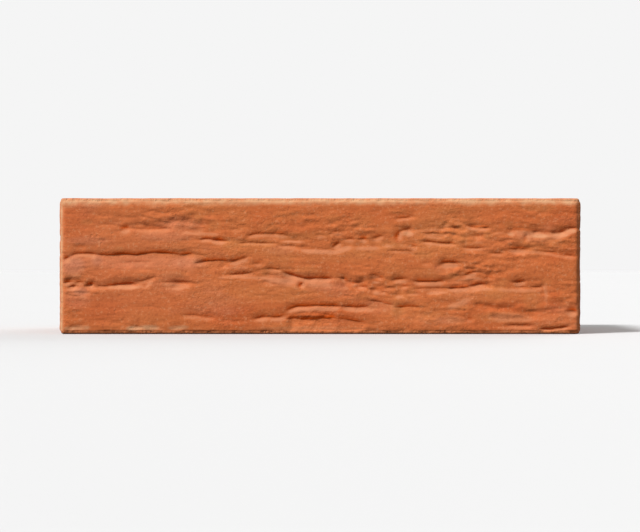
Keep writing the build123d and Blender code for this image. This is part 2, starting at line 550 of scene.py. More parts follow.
# The wide valleys and the ledges of the front face, the ledges each lit along their upper side.
FRONT_SWELLS = (
    hollow(0.7, (47.0, 54.2), (56.0, 54.4), (63.0, 55.0)),
    hollow(0.6, (67.0, 57.6), (71.0, 57.2), (76.0, 57.0)),
    hollow(0.5, (30.0, 52.2), (38.0, 52.0), (50.0, 52.4)),
    hollow(0.6, (100.0, 53.0), (110.0, 52.6), (124.0, 53.4)),
    hollow(0.5, (128.0, 52.6), (134.0, 55.0), (140.0, 57.0)),
    hollow(0.5, (204.0, 45.4), (210.0, 44.6), (216.0, 45.6)),
    hollow(0.7, (197.0, 30.0), (206.0, 29.4), (214.0, 29.0)),
    hollow(0.6, (139.0, 23.6), (146.0, 23.0), (153.0, 23.4)),
    hollow(1.4, (197.0, 14.5), (206.0, 13.8), (216.0, 13.2)),
    hollow(0.85, (211.0, 12.6), (217.0, 11.6), (224.0, 10.4), (230.0, 10.0), (239.0, 10.0)),
    # The upper half
    ledge(0.4, (24.0, 53.8), (27.0, 53.4), (30.0, 53.0), width=0.8),
    ledge(0.5, (34.0, 49.8), (44.0, 49.6), (55.0, 50.0)),
    ledge(0.45, (58.0, 52.6), (63.0, 52.9), (70.0, 50.4)),
    ledge(0.7, (57.0, 49.0), (62.0, 48.6), (68.0, 48.4), (77.6, 48.0)),
    ledge(0.55, (98.0, 45.7), (102.0, 45.7), (105.2, 45.5), width=0.7),
    ledge(0.8, (104.6, 44.6), (110.0, 44.7), (118.0, 44.3), width=0.7),
    ledge(0.45, (102.0, 42.4), (109.0, 41.7), (116.0, 40.6)),
    ledge(1.05, (114.0, 40.8), (119.0, 40.0), (126.0, 39.8), (132.0, 39.8), (136.6, 41.2), (141.0, 42.0),
          width=1.3),
    ledge(0.75, (139.6, 41.4), (148.0, 41.4), (154.0, 41.8), width=1.2),
    ledge(0.75, (153.6, 42.0), (156.4, 42.6), (160.0, 42.2)),
    ledge(0.45, (160.0, 42.4), (164.0, 42.4), (170.0, 42.0)),
    ledge(0.6, (121.5, 46.4), (127.4, 46.8)),
    ledge(1.1, (164.4, 47.4), (166.4, 47.9), (169.8, 48.4), width=1.3),
    ledge(0.5, (167.6, 49.2), (176.0, 50.1), (181.6, 50.2), (187.0, 49.6), width=0.7),
    ledge(0.6, (173.0, 46.9), (179.0, 46.6), (184.5, 46.3), width=0.8),
    ledge(0.7, (194.0, 50.3), (197.0, 50.8), (200.6, 50.1), width=0.8),
    ledge(0.6, (196.0, 44.2), (203.0, 44.1)),
    ledge(1.0, (213.0, 47.6), (215.4, 48.2), (217.8, 47.9)),
    ledge(1.05, (224.4, 47.1), (228.4, 47.5), (234.0, 47.4), width=1.3),
    ledge(1.2, (233.6, 47.0), (238.0, 47.3), (240.8, 48.2), (243.6, 49.4), (248.0, 50.2), width=1.2),
    ledge(0.6, (214.0, 38.8), (222.0, 39.5), (229.0, 39.3), (237.0, 38.0), (247.0, 36.2)),
    ledge(0.55, (205.0, 47.9), (210.0, 48.8), (214.0, 47.6), width=0.8),
    # Across the middle
    ledge(0.5, (76.0, 31.8), (84.0, 32.3), (92.0, 32.0)),
    ledge(0.65, (74.0, 27.3), (82.0, 27.6), (95.0, 27.4), (103.0, 26.6)),
    ledge(0.75, (97.0, 26.8), (104.4, 26.2), (109.6, 25.7), (114.0, 25.4), width=1.7),
    ledge(0.75, (116.6, 25.0), (124.0, 24.3), (131.6, 23.8), width=1.8),
    ledge(0.7, (134.0, 22.0), (136.6, 22.4), (139.0, 21.7)),
    ledge(0.75, (141.4, 22.0), (144.0, 22.4), (146.4, 21.8)),
    ledge(0.5, (179.0, 31.9), (182.0, 32.3), (186.0, 32.0), width=0.8),
    ledge(0.6, (187.2, 25.0), (192.8, 26.6), (199.6, 27.1), (203.6, 26.1)),
    ledge(0.8, (194.6, 20.5), (197.6, 21.2), (202.6, 22.0), (208.0, 21.8)),
    ledge(0.6, (207.0, 21.9), (215.0, 21.5), (222.0, 21.4), (229.6, 21.6), width=1.3),
    ledge(0.9, (174.0, 19.8), (180.6, 20.2), (187.0, 20.6), width=0.9),
    ledge(0.8, (3.0, 24.8), (5.4, 25.0), (8.2, 24.6), width=0.6),
    ledge(0.9, (2.6, 21.8), (6.0, 21.7), (9.6, 22.2), width=0.8),
    ledge(0.6, (13.0, 21.9), (17.0, 22.1), (20.0, 22.8), width=0.8),
    ledge(1.0, (24.4, 22.3), (31.0, 22.5), (37.0, 22.9), (40.6, 24.2)),
    ledge(1.0, (39.2, 21.8), (41.8, 23.6), (45.2, 26.8)),
    ledge(0.8, (52.0, 22.2), (58.0, 22.4), (63.6, 24.2)),
    # The crumbled middle and the lower right
    ledge(0.9, (148.4, 24.6), (150.6, 25.2), (153.0, 24.6), width=0.8),
    ledge(0.9, (148.8, 19.6), (151.0, 20.2), (154.0, 19.6)),
    ledge(0.9, (158.6, 24.4), (161.0, 25.2), (163.6, 24.4), width=0.8),
    ledge(0.9, (159.4, 17.8), (162.0, 18.3), (164.6, 18.0), width=1.1),
    ledge(0.6, (144.6, 11.4), (148.0, 11.8), (151.0, 12.4), width=1.2),
    ledge(0.6, (205.0, 7.5), (210.0, 7.2), (219.0, 7.1), (228.0, 7.5), width=1.2),
    ledge(0.75, (184.0, 12.6), (190.0, 14.8), (197.0, 17.8), width=1.8),
    ledge(0.5, (181.4, 51.8), (184.4, 52.2), (187.0, 53.2), width=0.9),
    ledge(0.6, (164.6, 18.8), (169.0, 19.4), (174.0, 19.8)),
    ledge(0.5, (106.6, 23.4), (109.6, 23.9), (112.6, 23.6), width=1.2),
    ledge(0.5, (207.0, 3.8), (217.0, 3.4), (226.0, 3.6)),
    ledge(0.6, (232.4, 13.0), (232.0, 19.0), (231.8, 26.0)),
    ledge(0.5, (8.6, 19.6), (11.4, 18.2), (14.2, 17.4), width=1.3),
    # The chipped spots along the lower edge
    ledge(0.55, (3.4, 2.6), (7.0, 2.9), (13.0, 2.8), width=0.8),
    ledge(0.65, (33.4, 2.5), (37.0, 2.9), (40.6, 2.6), width=0.8),
    ledge(0.6, (42.6, 2.8), (45.4, 3.0), (49.0, 2.7), width=0.8),
    ledge(0.55, (53.4, 2.6), (56.2, 2.9), (60.0, 2.9), width=0.8),
)


@dataclass(frozen=True)
class StrayTears:
    """Tears drawn at random, for a face that isn't seen or to fill between the mapped ones."""

    seed: int
    count: int
    longest: float
    deepest: float
    shortest: float = 5.0
    step: float = 6.0
    edge_margin: float = 3.5
    strengths: Point = (0.6, 1.0)
    widths: Point = (0.7, 1.3)

    def draw(self, face_length: float, face_height: float) -> tuple[Tear, ...]:
        """Scatters the tears over a face, more short and shallow than long and deep ones.

        Args:
            face_length: Length of the face in millimetres.
            face_height: Height of the face in millimetres.

        Returns:
            The tears, each a line that wanders gently from left to right.
        """
        mostly_short, overhang, tilt, wander, least = 1.6, 0.2, 0.12, 0.16, 0.25
        rng = np.random.default_rng(self.seed)
        tears = []
        for _ in range(self.count):
            size = rng.uniform() ** mostly_short
            run = self.shortest + size * (self.longest - self.shortest)
            steps = max(2, round(run / self.step))
            left = rng.uniform(-overhang * run, face_length - (1.0 - overhang) * run)
            height = rng.uniform(self.edge_margin, face_height - self.edge_margin)
            heading = rng.normal(0.0, tilt)
            rises = rng.normal(heading, wander, steps) * run / steps
            heights = height + np.concatenate(([0.0], np.cumsum(rises)))
            places = left + np.linspace(0.0, run, steps + 1)
            strength = self.deepest * (least + (1.0 - least) * size) * rng.uniform(*self.strengths)
            points = tuple((float(u), float(v)) for u, v in zip(places, heights))
            tears.append(tear(strength, *points, width=rng.uniform(*self.widths)))
        return tuple(tears)


@dataclass(frozen=True)
class Patch:
    """A soft oval on a face, by its middle and half sizes in millimetres and its amount."""

    middle: Point
    half: Point
    amount: float
    fade: Point = (1.15, 0.4)

    def share(self, u: Array, v: Array) -> Array:
        """1 well inside the patch, falling to 0 past its rim."""
        out = np.hypot((u - self.middle[0]) / self.half[0], (v - self.middle[1]) / self.half[1])
        return smooth_step(out, *self.fade)


def patched(patches: tuple[Patch, ...], u: Array, v: Array) -> Array:
    """The amounts of all patches at each place."""
    return sum((patch.amount * patch.share(u, v) for patch in patches), np.zeros_like(u))


# Where the front's bark broke up into crumbs, with how deep they are.
FRONT_CRUMBS = (
    Patch((149.0, 23.0), (17.0, 8.0), 0.20),
    Patch((139.0, 50.0), (14.0, 7.0), 0.16),
    Patch((192.0, 49.5), (15.0, 9.0), 0.24),
    Patch((227.0, 44.0), (24.0, 9.0), 0.15),
    Patch((196.0, 27.0), (18.0, 8.0), 0.18),
    Patch((13.0, 23.0), (15.0, 6.0), 0.16),
    Patch((120.0, 7.5), (16.0, 4.5), 0.22),
    Patch((60.0, 55.0), (24.0, 8.0), 0.12),
    Patch((242.0, 16.0), (10.0, 14.0), 0.12),
    Patch((206.0, 34.0), (28.0, 7.0), 0.10),
    Patch((226.0, 56.0), (22.0, 6.0), 0.08),
    Patch((176.0, 11.0), (24.0, 8.0), 0.10),
    Patch((216.0, 12.0), (22.0, 7.0), 0.09),
    Patch((110.0, 53.0), (17.0, 8.0), 0.09),
    Patch((150.0, 36.0), (16.0, 5.0), 0.07),
    Patch((32.0, 54.0), (26.0, 7.0), 0.06),
    Patch((36.0, 33.0), (28.0, 4.0), 0.06),
)

# Where the front face is of a somewhat other colour, with how much of it.
FRONT_TONES = {
    Tone.REDDER: (
        Patch((8.0, 53.0), (12.0, 11.0), 0.7),
        Patch((20.0, 12.0), (13.0, 9.0), 0.6),
        Patch((52.0, 12.0), (50.0, 8.0), 0.35),
        Patch((78.0, 14.0), (24.0, 5.0), 0.3),
        Patch((106.5, 8.0), (5.0, 2.8), 0.8),
        Patch((7.0, 14.5), (5.5, 3.5), 0.8),
        Patch((20.0, 27.0), (8.0, 5.0), 0.4),
        Patch((103.0, 17.0), (6.0, 10.0), 0.5),
        Patch((134.0, 9.0), (12.0, 4.0), 0.6),
        Patch((70.0, 24.0), (14.0, 7.0), 0.3),
        Patch((84.0, 8.0), (18.0, 7.0), 0.8),
        Patch((112.0, 51.0), (20.0, 6.0), 0.3),
        Patch((122.0, 33.0), (18.0, 5.0), 0.35),
        Patch((120.0, 12.0), (18.0, 6.0), 0.7),
        Patch((152.0, 57.0), (24.0, 6.0), 0.5),
        Patch((212.0, 56.0), (14.0, 6.0), 0.4),
        Patch((243.0, 54.0), (10.0, 10.0), 0.8),
        Patch((241.0, 39.0), (12.0, 5.0), 0.7),
        Patch((225.0, 12.0), (18.0, 5.0), 0.5),
        Patch((162.2, 45.6), (1.8, 3.0), 0.8),
        Patch((192.0, 21.8), (4.0, 2.2), 0.9),
        Patch((236.8, 14.0), (3.0, 6.0), 0.6),
        Patch((104.0, 6.6), (5.0, 1.6), 0.9),
        Patch((38.0, 34.0), (7.0, 3.4), 0.4),
        Patch((237.0, 19.4), (4.0, 2.0), 0.5),
    ),
    Tone.SANDIER: (
        Patch((76.0, 20.0), (20.0, 10.0), 0.5),
        Patch((106.0, 20.0), (22.0, 6.0), 0.6),
        Patch((70.0, 60.0), (14.0, 5.0), 0.6),
        Patch((182.0, 49.0), (22.0, 13.0), 0.6),
        Patch((148.0, 42.0), (20.0, 5.0), 0.4),
        Patch((200.0, 19.0), (30.0, 5.0), 0.6),
        Patch((168.0, 12.0), (20.0, 7.0), 0.5),
        Patch((228.0, 44.0), (12.0, 8.0), 0.7),
        Patch((86.0, 55.0), (8.0, 8.0), 0.6),
        Patch((101.0, 50.5), (6.0, 5.0), 0.6),
        Patch((112.0, 46.4), (10.0, 2.6), 0.8),
        Patch((94.0, 41.0), (20.0, 4.6), 0.6),
        Patch((56.0, 28.4), (7.0, 2.0), 0.5),
        Patch((119.0, 30.6), (7.0, 2.4), 0.7),
        Patch((160.0, 28.0), (7.0, 10.0), 0.5),
        Patch((152.0, 38.6), (20.0, 3.4), 0.4),
        Patch((175.0, 29.4), (9.0, 3.0), 0.6),
        Patch((163.0, 12.0), (4.0, 4.0), 0.5),
        Patch((165.0, 18.6), (7.0, 2.6), 0.6),
        Patch((145.0, 17.8), (6.0, 1.6), 0.6),
        Patch((209.0, 20.5), (7.0, 5.0), 0.6),
        Patch((191.0, 13.0), (7.0, 2.4), 0.8),
        Patch((226.0, 16.0), (5.0, 6.0), 0.7),
        Patch((212.0, 8.2), (15.0, 3.0), 1.0),
        Patch((106.0, 37.0), (10.0, 4.4), 0.5),
        Patch((90.0, 43.4), (13.0, 2.4), 0.6),
        Patch((124.0, 47.6), (9.0, 2.4), 0.6),
        Patch((145.0, 55.0), (6.5, 4.4), 0.5),
        Patch((190.0, 6.6), (5.0, 2.6), 0.7),
        Patch((75.0, 52.0), (4.0, 3.4), 0.8),
        Patch((157.0, 42.8), (5.0, 3.0), 0.7),
        Patch((133.0, 37.0), (18.0, 4.0), 0.45),
        Patch((161.4, 13.0), (3.6, 6.0), 0.6),
        Patch((109.0, 56.8), (9.0, 3.6), 0.5),
        Patch((82.0, 43.4), (5.0, 3.6), 0.7),
        Patch((99.6, 43.0), (3.6, 3.0), 0.6),
        Patch((162.0, 42.2), (5.0, 1.8), 0.6),
        Patch((212.6, 25.0), (3.0, 2.2), 0.7),
        Patch((233.0, 25.0), (3.0, 2.4), 0.6),
        Patch((215.0, 52.4), (3.0, 2.0), 0.6),
        Patch((186.0, 59.4), (8.0, 2.0), 0.6),
        Patch((162.0, 58.8), (6.0, 1.8), 0.6),
        Patch((131.4, 55.4), (4.0, 2.2), 0.6),
        Patch((66.6, 55.2), (3.0, 2.2), 0.8),
        Patch((14.0, 53.4), (4.0, 1.8), 0.7),
        Patch((150.0, 12.8), (3.0, 2.4), 0.7),
        Patch((29.4, 40.6), (3.0, 1.8), 0.9),
        Patch((184.0, 52.4), (3.4, 1.8), 0.8),
        Patch((205.0, 47.0), (2.4, 2.6), 0.7),
        Patch((193.4, 45.6), (2.0, 2.4), 0.7),
        Patch((168.6, 21.0), (2.6, 2.4), 0.7),
        Patch((188.4, 28.0), (4.0, 1.8), 0.9),
        Patch((7.0, 28.6), (6.0, 2.0), 0.8),
        Patch((98.6, 29.6), (2.4, 2.6), 0.7),
        Patch((174.0, 37.6), (6.0, 2.6), 0.9),
        Patch((180.0, 8.0), (12.0, 3.4), 0.5),
        Patch((239.0, 46.0), (6.0, 8.0), 0.5),
        Patch((229.0, 60.2), (9.0, 2.2), 0.8),
    ),
    Tone.PALER: (
        Patch((35.0, 34.5), (38.0, 4.5), 0.42),
        Patch((7.0, 32.5), (7.0, 6.0), 0.8),
        Patch((18.6, 35.4), (3.2, 3.0), 0.5),
        Patch((62.0, 34.0), (9.0, 4.0), 0.45),
        Patch((11.0, 20.6), (4.5, 2.6), 0.6),
        Patch((30.0, 34.0), (46.0, 32.0), 0.16),
        Patch((14.0, 44.6), (13.0, 2.4), 0.4),
        Patch((52.0, 46.4), (17.0, 2.6), 0.4),
        Patch((9.0, 17.0), (8.0, 6.0), 0.4),
        Patch((58.0, 52.0), (12.0, 5.0), 0.35),
        Patch((108.0, 26.0), (13.0, 4.0), 0.4),
        Patch((125.0, 24.0), (13.0, 4.0), 0.35),
        Patch((152.0, 13.0), (10.0, 4.0), 0.35),
        Patch((230.0, 47.0), (12.0, 4.0), 0.35),
        Patch((245.0, 8.0), (8.0, 9.0), 0.2),
        Patch((187.0, 6.6), (9.0, 2.4), 0.4),
        Patch((214.0, 8.4), (11.0, 2.2), 0.45),
        Patch((106.0, 40.0), (9.0, 2.6), 0.3),
    ),
    # Pale patches: rubbed chips along the lower edge, and painted highlight along the upper edge and on
    # the upper sides of the ledges
    Tone.WORN_AND_LIT: (
        Patch((5.6, 2.7), (3.6, 1.3), 0.55),
        Patch((11.0, 3.1), (5.0, 1.5), 0.65),
        Patch((36.2, 2.7), (4.4, 1.5), 0.8),
        Patch((43.2, 3.1), (6.0, 1.6), 0.75),
        Patch((55.6, 2.9), (3.2, 1.4), 0.65),
        Patch((59.4, 3.3), (3.4, 1.3), 0.45),
        Patch((122.0, 2.8), (30.0, 1.2), 0.2),
        Patch((5.0, 62.0), (5.0, 2.2), 0.35),
        Patch((16.0, 61.6), (6.0, 1.6), 0.15),
        Patch((47.0, 61.4), (5.0, 1.8), 0.2),
        Patch((88.0, 62.2), (8.0, 1.8), 0.2),
        Patch((166.4, 48.0), (3.4, 1.1), 0.3),
        Patch((216.0, 47.9), (2.4, 0.9), 0.3),
        Patch((230.0, 46.7), (6.0, 1.2), 0.4),
        Patch((239.6, 47.4), (4.2, 1.2), 0.4),
        Patch((244.6, 49.2), (3.2, 1.2), 0.4),
        Patch((32.0, 22.3), (9.0, 0.9), 0.2),
    ),
}


@dataclass(frozen=True)
class BarkFace:
    """The relief of a torn, bark-like face, as a depth in millimetres below its plane."""

    length: float
    height: float
    tears: tuple[Tear, ...]
    seed: int
    crumbs: tuple[Patch, ...] = ()
    tones: dict[Tone, tuple[Patch, ...]] = field(default_factory=dict)
    pale_left: bool = False
    nudge: Point = (0.0, 0.0)
    # The soft skin: how deep it lies, and what swells, lumps, wrinkles, crumbs and layers add
    rest_depth: float = 0.46
    swell: float = 0.26
    lump: float = 0.34
    wrinkle: float = 0.14
    crumble: float = 3.6
    crumbs_sunk: float = 0.12
    layer_height: float = 6.5
    layer_depth: float = 0.32
    # How broken up the calmest bark is, and what chance and the crumbs add
    calm: float = 0.25
    by_chance: float = 0.45
    chance_span: Point = (-0.3, 0.5)
    by_crumbs: float = 3.0
    # The edges: how far the skin falls towards them, and from where to where they are pale, partly rubbed
    # and partly painted highlight
    end_fade: float = 1.5
    end_taper: float = 4.0
    most_taper: float = 0.45
    thinnest_end: float = 0.6
    widest: float = 1.4
    gather_reach: float = 1.8
    gather_power: float = 0.65
    gather_margin: Point = (2.0, 4.0)
    # The edges: how far the skin falls towards them, and from where to where they are worn
    edge_fall: float = 0.75
    edge_run: float = 5.2
    worn_and_lit_top: Point = (4.2, 1.0)
    worn_and_lit_left: Point = (2.3, 0.9)
    left_wear_and_light: float = 0.85
    left_waver: float = 0.4
    # The noises behind all this
    bend_up: Grain = Grain(1, 5.0, 4.0, amount=0.45)
    bend_along: Grain = Grain(1, 3.0, 3.0, 1, (40.0, 0.0), 0.45)
    width_change: Grain = Grain(1, 7.0, 7.0, 2, (80.0, 0.0), 0.3)
    broad: Grain = Grain(2, 42.0, 13.0)
    lumps: Grain = Grain(2, 11.0, 4.4, 2, (50.0, 9.0))
    roughness: Grain = Grain(3, 30.0, 14.0, 1, (70.0, 0.0))
    wrinkles: Grain = Grain(3, 12.0, 2.8)
    wrinkle_bend: Grain = Grain(3, 15.0, 9.0, 1, amount=0.5)
    wrinkle_patches: Grain = Grain(3, 26.0, 12.0, 1, (70.0, 0.0))
    crumb_lumps: Grain = Grain(4, 4.8, 2.7, 2)
    wavers: tuple[Grain, ...] = (Grain(5, 14.0, 14.0, amount=0.8), Grain(5, 3.1, 3.1, 1, amount=0.7))
    strength_change: Grain = Grain(6, 7.0, 7.0, 2, amount=0.3)
    layer_waves: tuple[Grain, ...] = (Grain(7, 30.0, 15.0, amount=0.4), Grain(7, 7.0, 4.0, amount=0.2))
    layer_patches: Grain = Grain(7, 13.0, 4.5, 2, (30.0, 0.0))

    def depth(self, u: Array, v: Array) -> Array:
        """The depth at each place of the face, without its tears.

        Args:
            u: Places from the left edge, in millimetres.
            v: Heights above the lower bed, in millimetres.

        Returns:
            Millimetres below the plane that the highest points touch.
        """
        rough = self._roughness(u, v)
        soft = self._swells(u, v, rough) + self._wrinkles(u, v) + self._crumbled(u, v)
        soft += self._layers(u, v, rough)
        return self.rest_depth + soft + self._edge_fall(u, v)

    def creased(self, u: Array, v: Array) -> tuple[Array, Array, Array]:
        """What the tears and ledges do at each place of the face.

        Args:
            u: Places from the left edge, in millimetres.
            v: Heights above the lower bed, in millimetres.

        Returns:
            The depth that they add, how much painted shade each place takes in a crease's underside, and
            how much it turns up to the light.
        """
        past_end = -0.5
        added, torn, lit = np.zeros_like(u), np.zeros_like(u), np.zeros_like(u)
        uneven = 1.0 + self.strength_change.over(u, v, self.seed)
        uneven *= smooth_step(np.minimum(u, self.length - u), past_end, self.end_fade)
        for crease, near, distance, ends in self._near_creases(u, v):
            section = SECTIONS[crease.kind]
            strength = crease.strength * ends * uneven[near]
            added[near] += strength * section.depth * section.share(distance, crease.reach)
            # Painted shade on the undersides of the creases, kept in the torn mark
            torn[near] = np.maximum(torn[near], strength * section.painted_shade(distance, crease.reach))
            lit[near] = np.maximum(lit[near], strength * section.rise(distance, crease.reach))
        return added, torn, lit

    def gathered(self, u: Array, v: Array) -> Array:
        """Draws rows of points together at the stronger tears, so that their drop stays sharp.

        Args:
            u: Places from the left edge, in millimetres.
            v: Heights above the lower bed, in millimetres.

        Returns:
            The new heights, in the same order up the face.
        """
        weakest = 0.35
        shift = np.zeros_like(v)
        closest = np.full_like(v, np.inf)
        for crease, near, distance, ends in self._near_creases(u, v):
            if crease.kind not in (Crease.TEAR, Crease.OVERLAP) or crease.strength < weakest:
                continue
            nearer = np.abs(distance) < closest[near]
            chosen = near[nearer]
            closest[chosen] = np.abs(distance[nearer])
            nearness = np.clip(np.abs(distance) / self.gather_reach, 0.0, 1.0)
            pull = distance * (nearness**self.gather_power - 1.0) * ends
            shift[chosen] = pull[nearer]
        inside = smooth_step(np.minimum(v, self.height - v), *self.gather_margin)
        return v + shift * inside

    def wear(self, u: Array, v: Array) -> Array:
        """How pale each place is along the upper edge and perhaps the left one, partly rubbing and partly
        painted highlight where these edges face the lamp.

        Args:
            u: Places from the left edge, in millimetres.
            v: Heights above the lower bed, in millimetres.

        Returns:
            A share from 0 to 1 for each place.
        """
        waver = self._waver(u, v)
        top = smooth_step(self.height - v + waver, *self.worn_and_lit_top)
        left = self.left_wear_and_light * smooth_step(u + self.left_waver * waver, *self.worn_and_lit_left)
        return np.maximum(top, left) if self.pale_left else top

    def _waver(self, u: Array, v: Array) -> Array:
        """What makes the edges' soft bands uneven, in millimetres."""
        return sum(grain.over(u, v, self.seed) for grain in self.wavers)

    def _near_creases(self, u: Array, v: Array) -> Iterator[tuple[Tear, Array, Array, Array]]:
        """Goes through the tears, ledges and hollows with what lies near each.

        Args:
            u: Places from the left edge, in millimetres.
            v: Heights above the lower bed, in millimetres.

        Yields:
            Each crease, the numbers of the places near it, their distances above it in units of
            its width, and a share that falls to 0 towards its two ends.
        """
        past_end = -0.3
        bent_u = u - self.nudge[0] + self.bend_along.over(u, v, self.seed)
        bent_v = v - self.nudge[1] + self.bend_up.over(u, v, self.seed)
        widths = 1.0 + self.width_change.over(u, v, self.seed)
        for crease in self.tears:
            path = crease.path()
            margin = self.widest * crease.reach * crease.width
            low, high = path.min(0) - margin, path.max(0) + margin
            inside = (bent_u > low[0]) & (bent_u < high[0]) & (bent_v > low[1]) & (bent_v < high[1])
            near = np.flatnonzero(inside)
            if not near.size:
                continue
            distance, along = place_on_path(bent_u[near], bent_v[near], path)
            run = float(np.hypot(*np.diff(path, axis=0).T).sum())
            taper = min(self.end_taper, self.most_taper * run)
            ends = smooth_step(np.minimum(along, run - along), past_end * taper, taper)
            thinned = self.thinnest_end + (1.0 - self.thinnest_end) * ends
            yield crease, near, distance / (crease.width * widths[near] * thinned), ends

    def _roughness(self, u: Array, v: Array) -> Array:
        """How broken up the bark is at each place, from 0 to 1."""
        chance = self.by_chance * smooth_step(self.roughness.over(u, v, self.seed), *self.chance_span)
        return np.clip(self.calm + chance + self.by_crumbs * patched(self.crumbs, u, v), 0.0, 1.0)

    def _swells(self, u: Array, v: Array, rough: Array) -> Array:
        """The soft rise and fall between the tears."""
        lumps = self.lump * rough * self.lumps.over(u, v, self.seed)
        return self.swell * self.broad.over(u, v, self.seed) + lumps

    def _wrinkles(self, u: Array, v: Array) -> Array:
        """Fine drawn-out wrinkles, strong in some patches and faint in others.

        Args:
            u: Places from the left edge, in millimetres.
            v: Heights above the lower bed, in millimetres.

        Returns:
            The depth that they add.
        """
        faintest, sharpness, patch_span = 0.1, 5, (-0.2, 0.5)
        bend = self.wrinkle_bend.over(u, v, self.seed)
        line = 1.0 - np.abs(self.wrinkles.over(u, v, self.seed, push=(0.0, bend)))
        patch = smooth_step(self.wrinkle_patches.over(u, v, self.seed), *patch_span)
        return self.wrinkle * (faintest + (1.0 - faintest) * patch) * line**sharpness

    def _layers(self, u: Array, v: Array, rough: Array) -> Array:
        """Thin layers that overlap like shingles, each with a small lip over the next one down.

        Args:
            u: Places from the left edge, in millimetres.
            v: Heights above the lower bed, in millimetres.
            rough: How broken up the bark is there.

        Returns:
            The depth that they add.
        """
        start, lip, where_calm, patch_span = 0.55, 0.90, 0.4, (0.0, 0.45)
        rise = v / self.layer_height
        for grain in self.layer_waves:
            rise += grain.over(u, v, self.seed)
        part = rise - np.floor(rise)
        recess = smooth_step(part, start, lip) * smooth_step(part, 1.0, lip)
        present = smooth_step(self.layer_patches.over(u, v, self.seed), *patch_span)
        return self.layer_depth * (where_calm + (1.0 - where_calm) * rough) * present * recess

    def _crumbled(self, u: Array, v: Array) -> Array:
        """Small crumbs and hollows where the bark broke up."""
        crumbs = self.crumb_lumps.over(u, v, self.seed)
        return self.crumble * patched(self.crumbs, u, v) * (self.crumbs_sunk + crumbs)

    def _edge_fall(self, u: Array, v: Array) -> Array:
        """The fall of the skin towards its four edges."""
        gap = np.minimum.reduce((u, self.length - u, v, self.height - v)) + self._waver(u, v)
        return self.edge_fall * np.clip(1.0 - gap / self.edge_run, 0.0, 1.0) ** 2


@dataclass(frozen=True)
class DieFace:
    """The relief of a plain face that the die smoothed, with faint lines of its travel."""

    seed: int
    rest_depth: float = 0.22
    lines: Grain = Grain(0, 3.2, 60.0, amount=0.05)
    swells: Grain = Grain(0, 55.0, 30.0, shift=(20.0, 0.0), amount=0.12)

    def depth(self, u: Array, v: Array) -> Array:
        """The depth in millimetres at each place of the face, given in millimetres."""
        return self.rest_depth + self.lines.over(u, v, self.seed) + self.swells.over(u, v, self.seed)


@dataclass(frozen=True)
class MeshDensity:
    """How finely each part of the skin is divided."""

    rows: int = 140
    corner_steps: int = 5
    front_columns: int = 280
    header_columns: int = 88
    back_columns: int = 40
    hole_steps: int = 40
    bore_rows: int = 8

    def columns(self, side: Side) -> int:
        """The number of columns on an upright face."""
        stretchers = {Side.FRONT: self.front_columns, Side.BACK: self.back_columns}
        return stretchers.get(side, self.header_columns)


def shrink_plan(verts: list[bmesh.types.BMVert], half: Point, radius: float, inset: float) -> None:
    """Moves points of a rounded rectangle inwards in plan, and keeps its corners apart.

    Args:
        verts: The points, all on the rounded rectangle.
        half: Half its length and half its width.
        radius: The radius of its corners.
        inset: How far inwards each side moves.
    """
    new_radius = max(radius - inset, TIGHTEST_CORNER)
    core = (half[0] - radius, half[1] - radius)
    new_core = (half[0] - inset - new_radius, half[1] - inset - new_radius)
    for vert in verts:
        centre = Vector((max(-core[0], min(core[0], vert.co.x)), max(-core[1], min(core[1], vert.co.y))))
        out = (vert.co.xy - centre) / radius
        vert.co.x = centre.x * new_core[0] / core[0] + out.x * new_radius
        vert.co.y = centre.y * new_core[1] / core[1] + out.y * new_radius


def level_border(mesh: bmesh.types.BMesh, height: float) -> list[bmesh.types.BMEdge]:
    """The open edges of a mesh that lie at one height.

    Args:
        mesh: The mesh to look through.
        height: The height in metres.

    Returns:
        The open edges whose two ends are at that height.
    """
    near = 0.01 * MM
    return [e for e in mesh.edges if e.is_boundary and all(abs(v.co.z - height) < near for v in e.verts)]


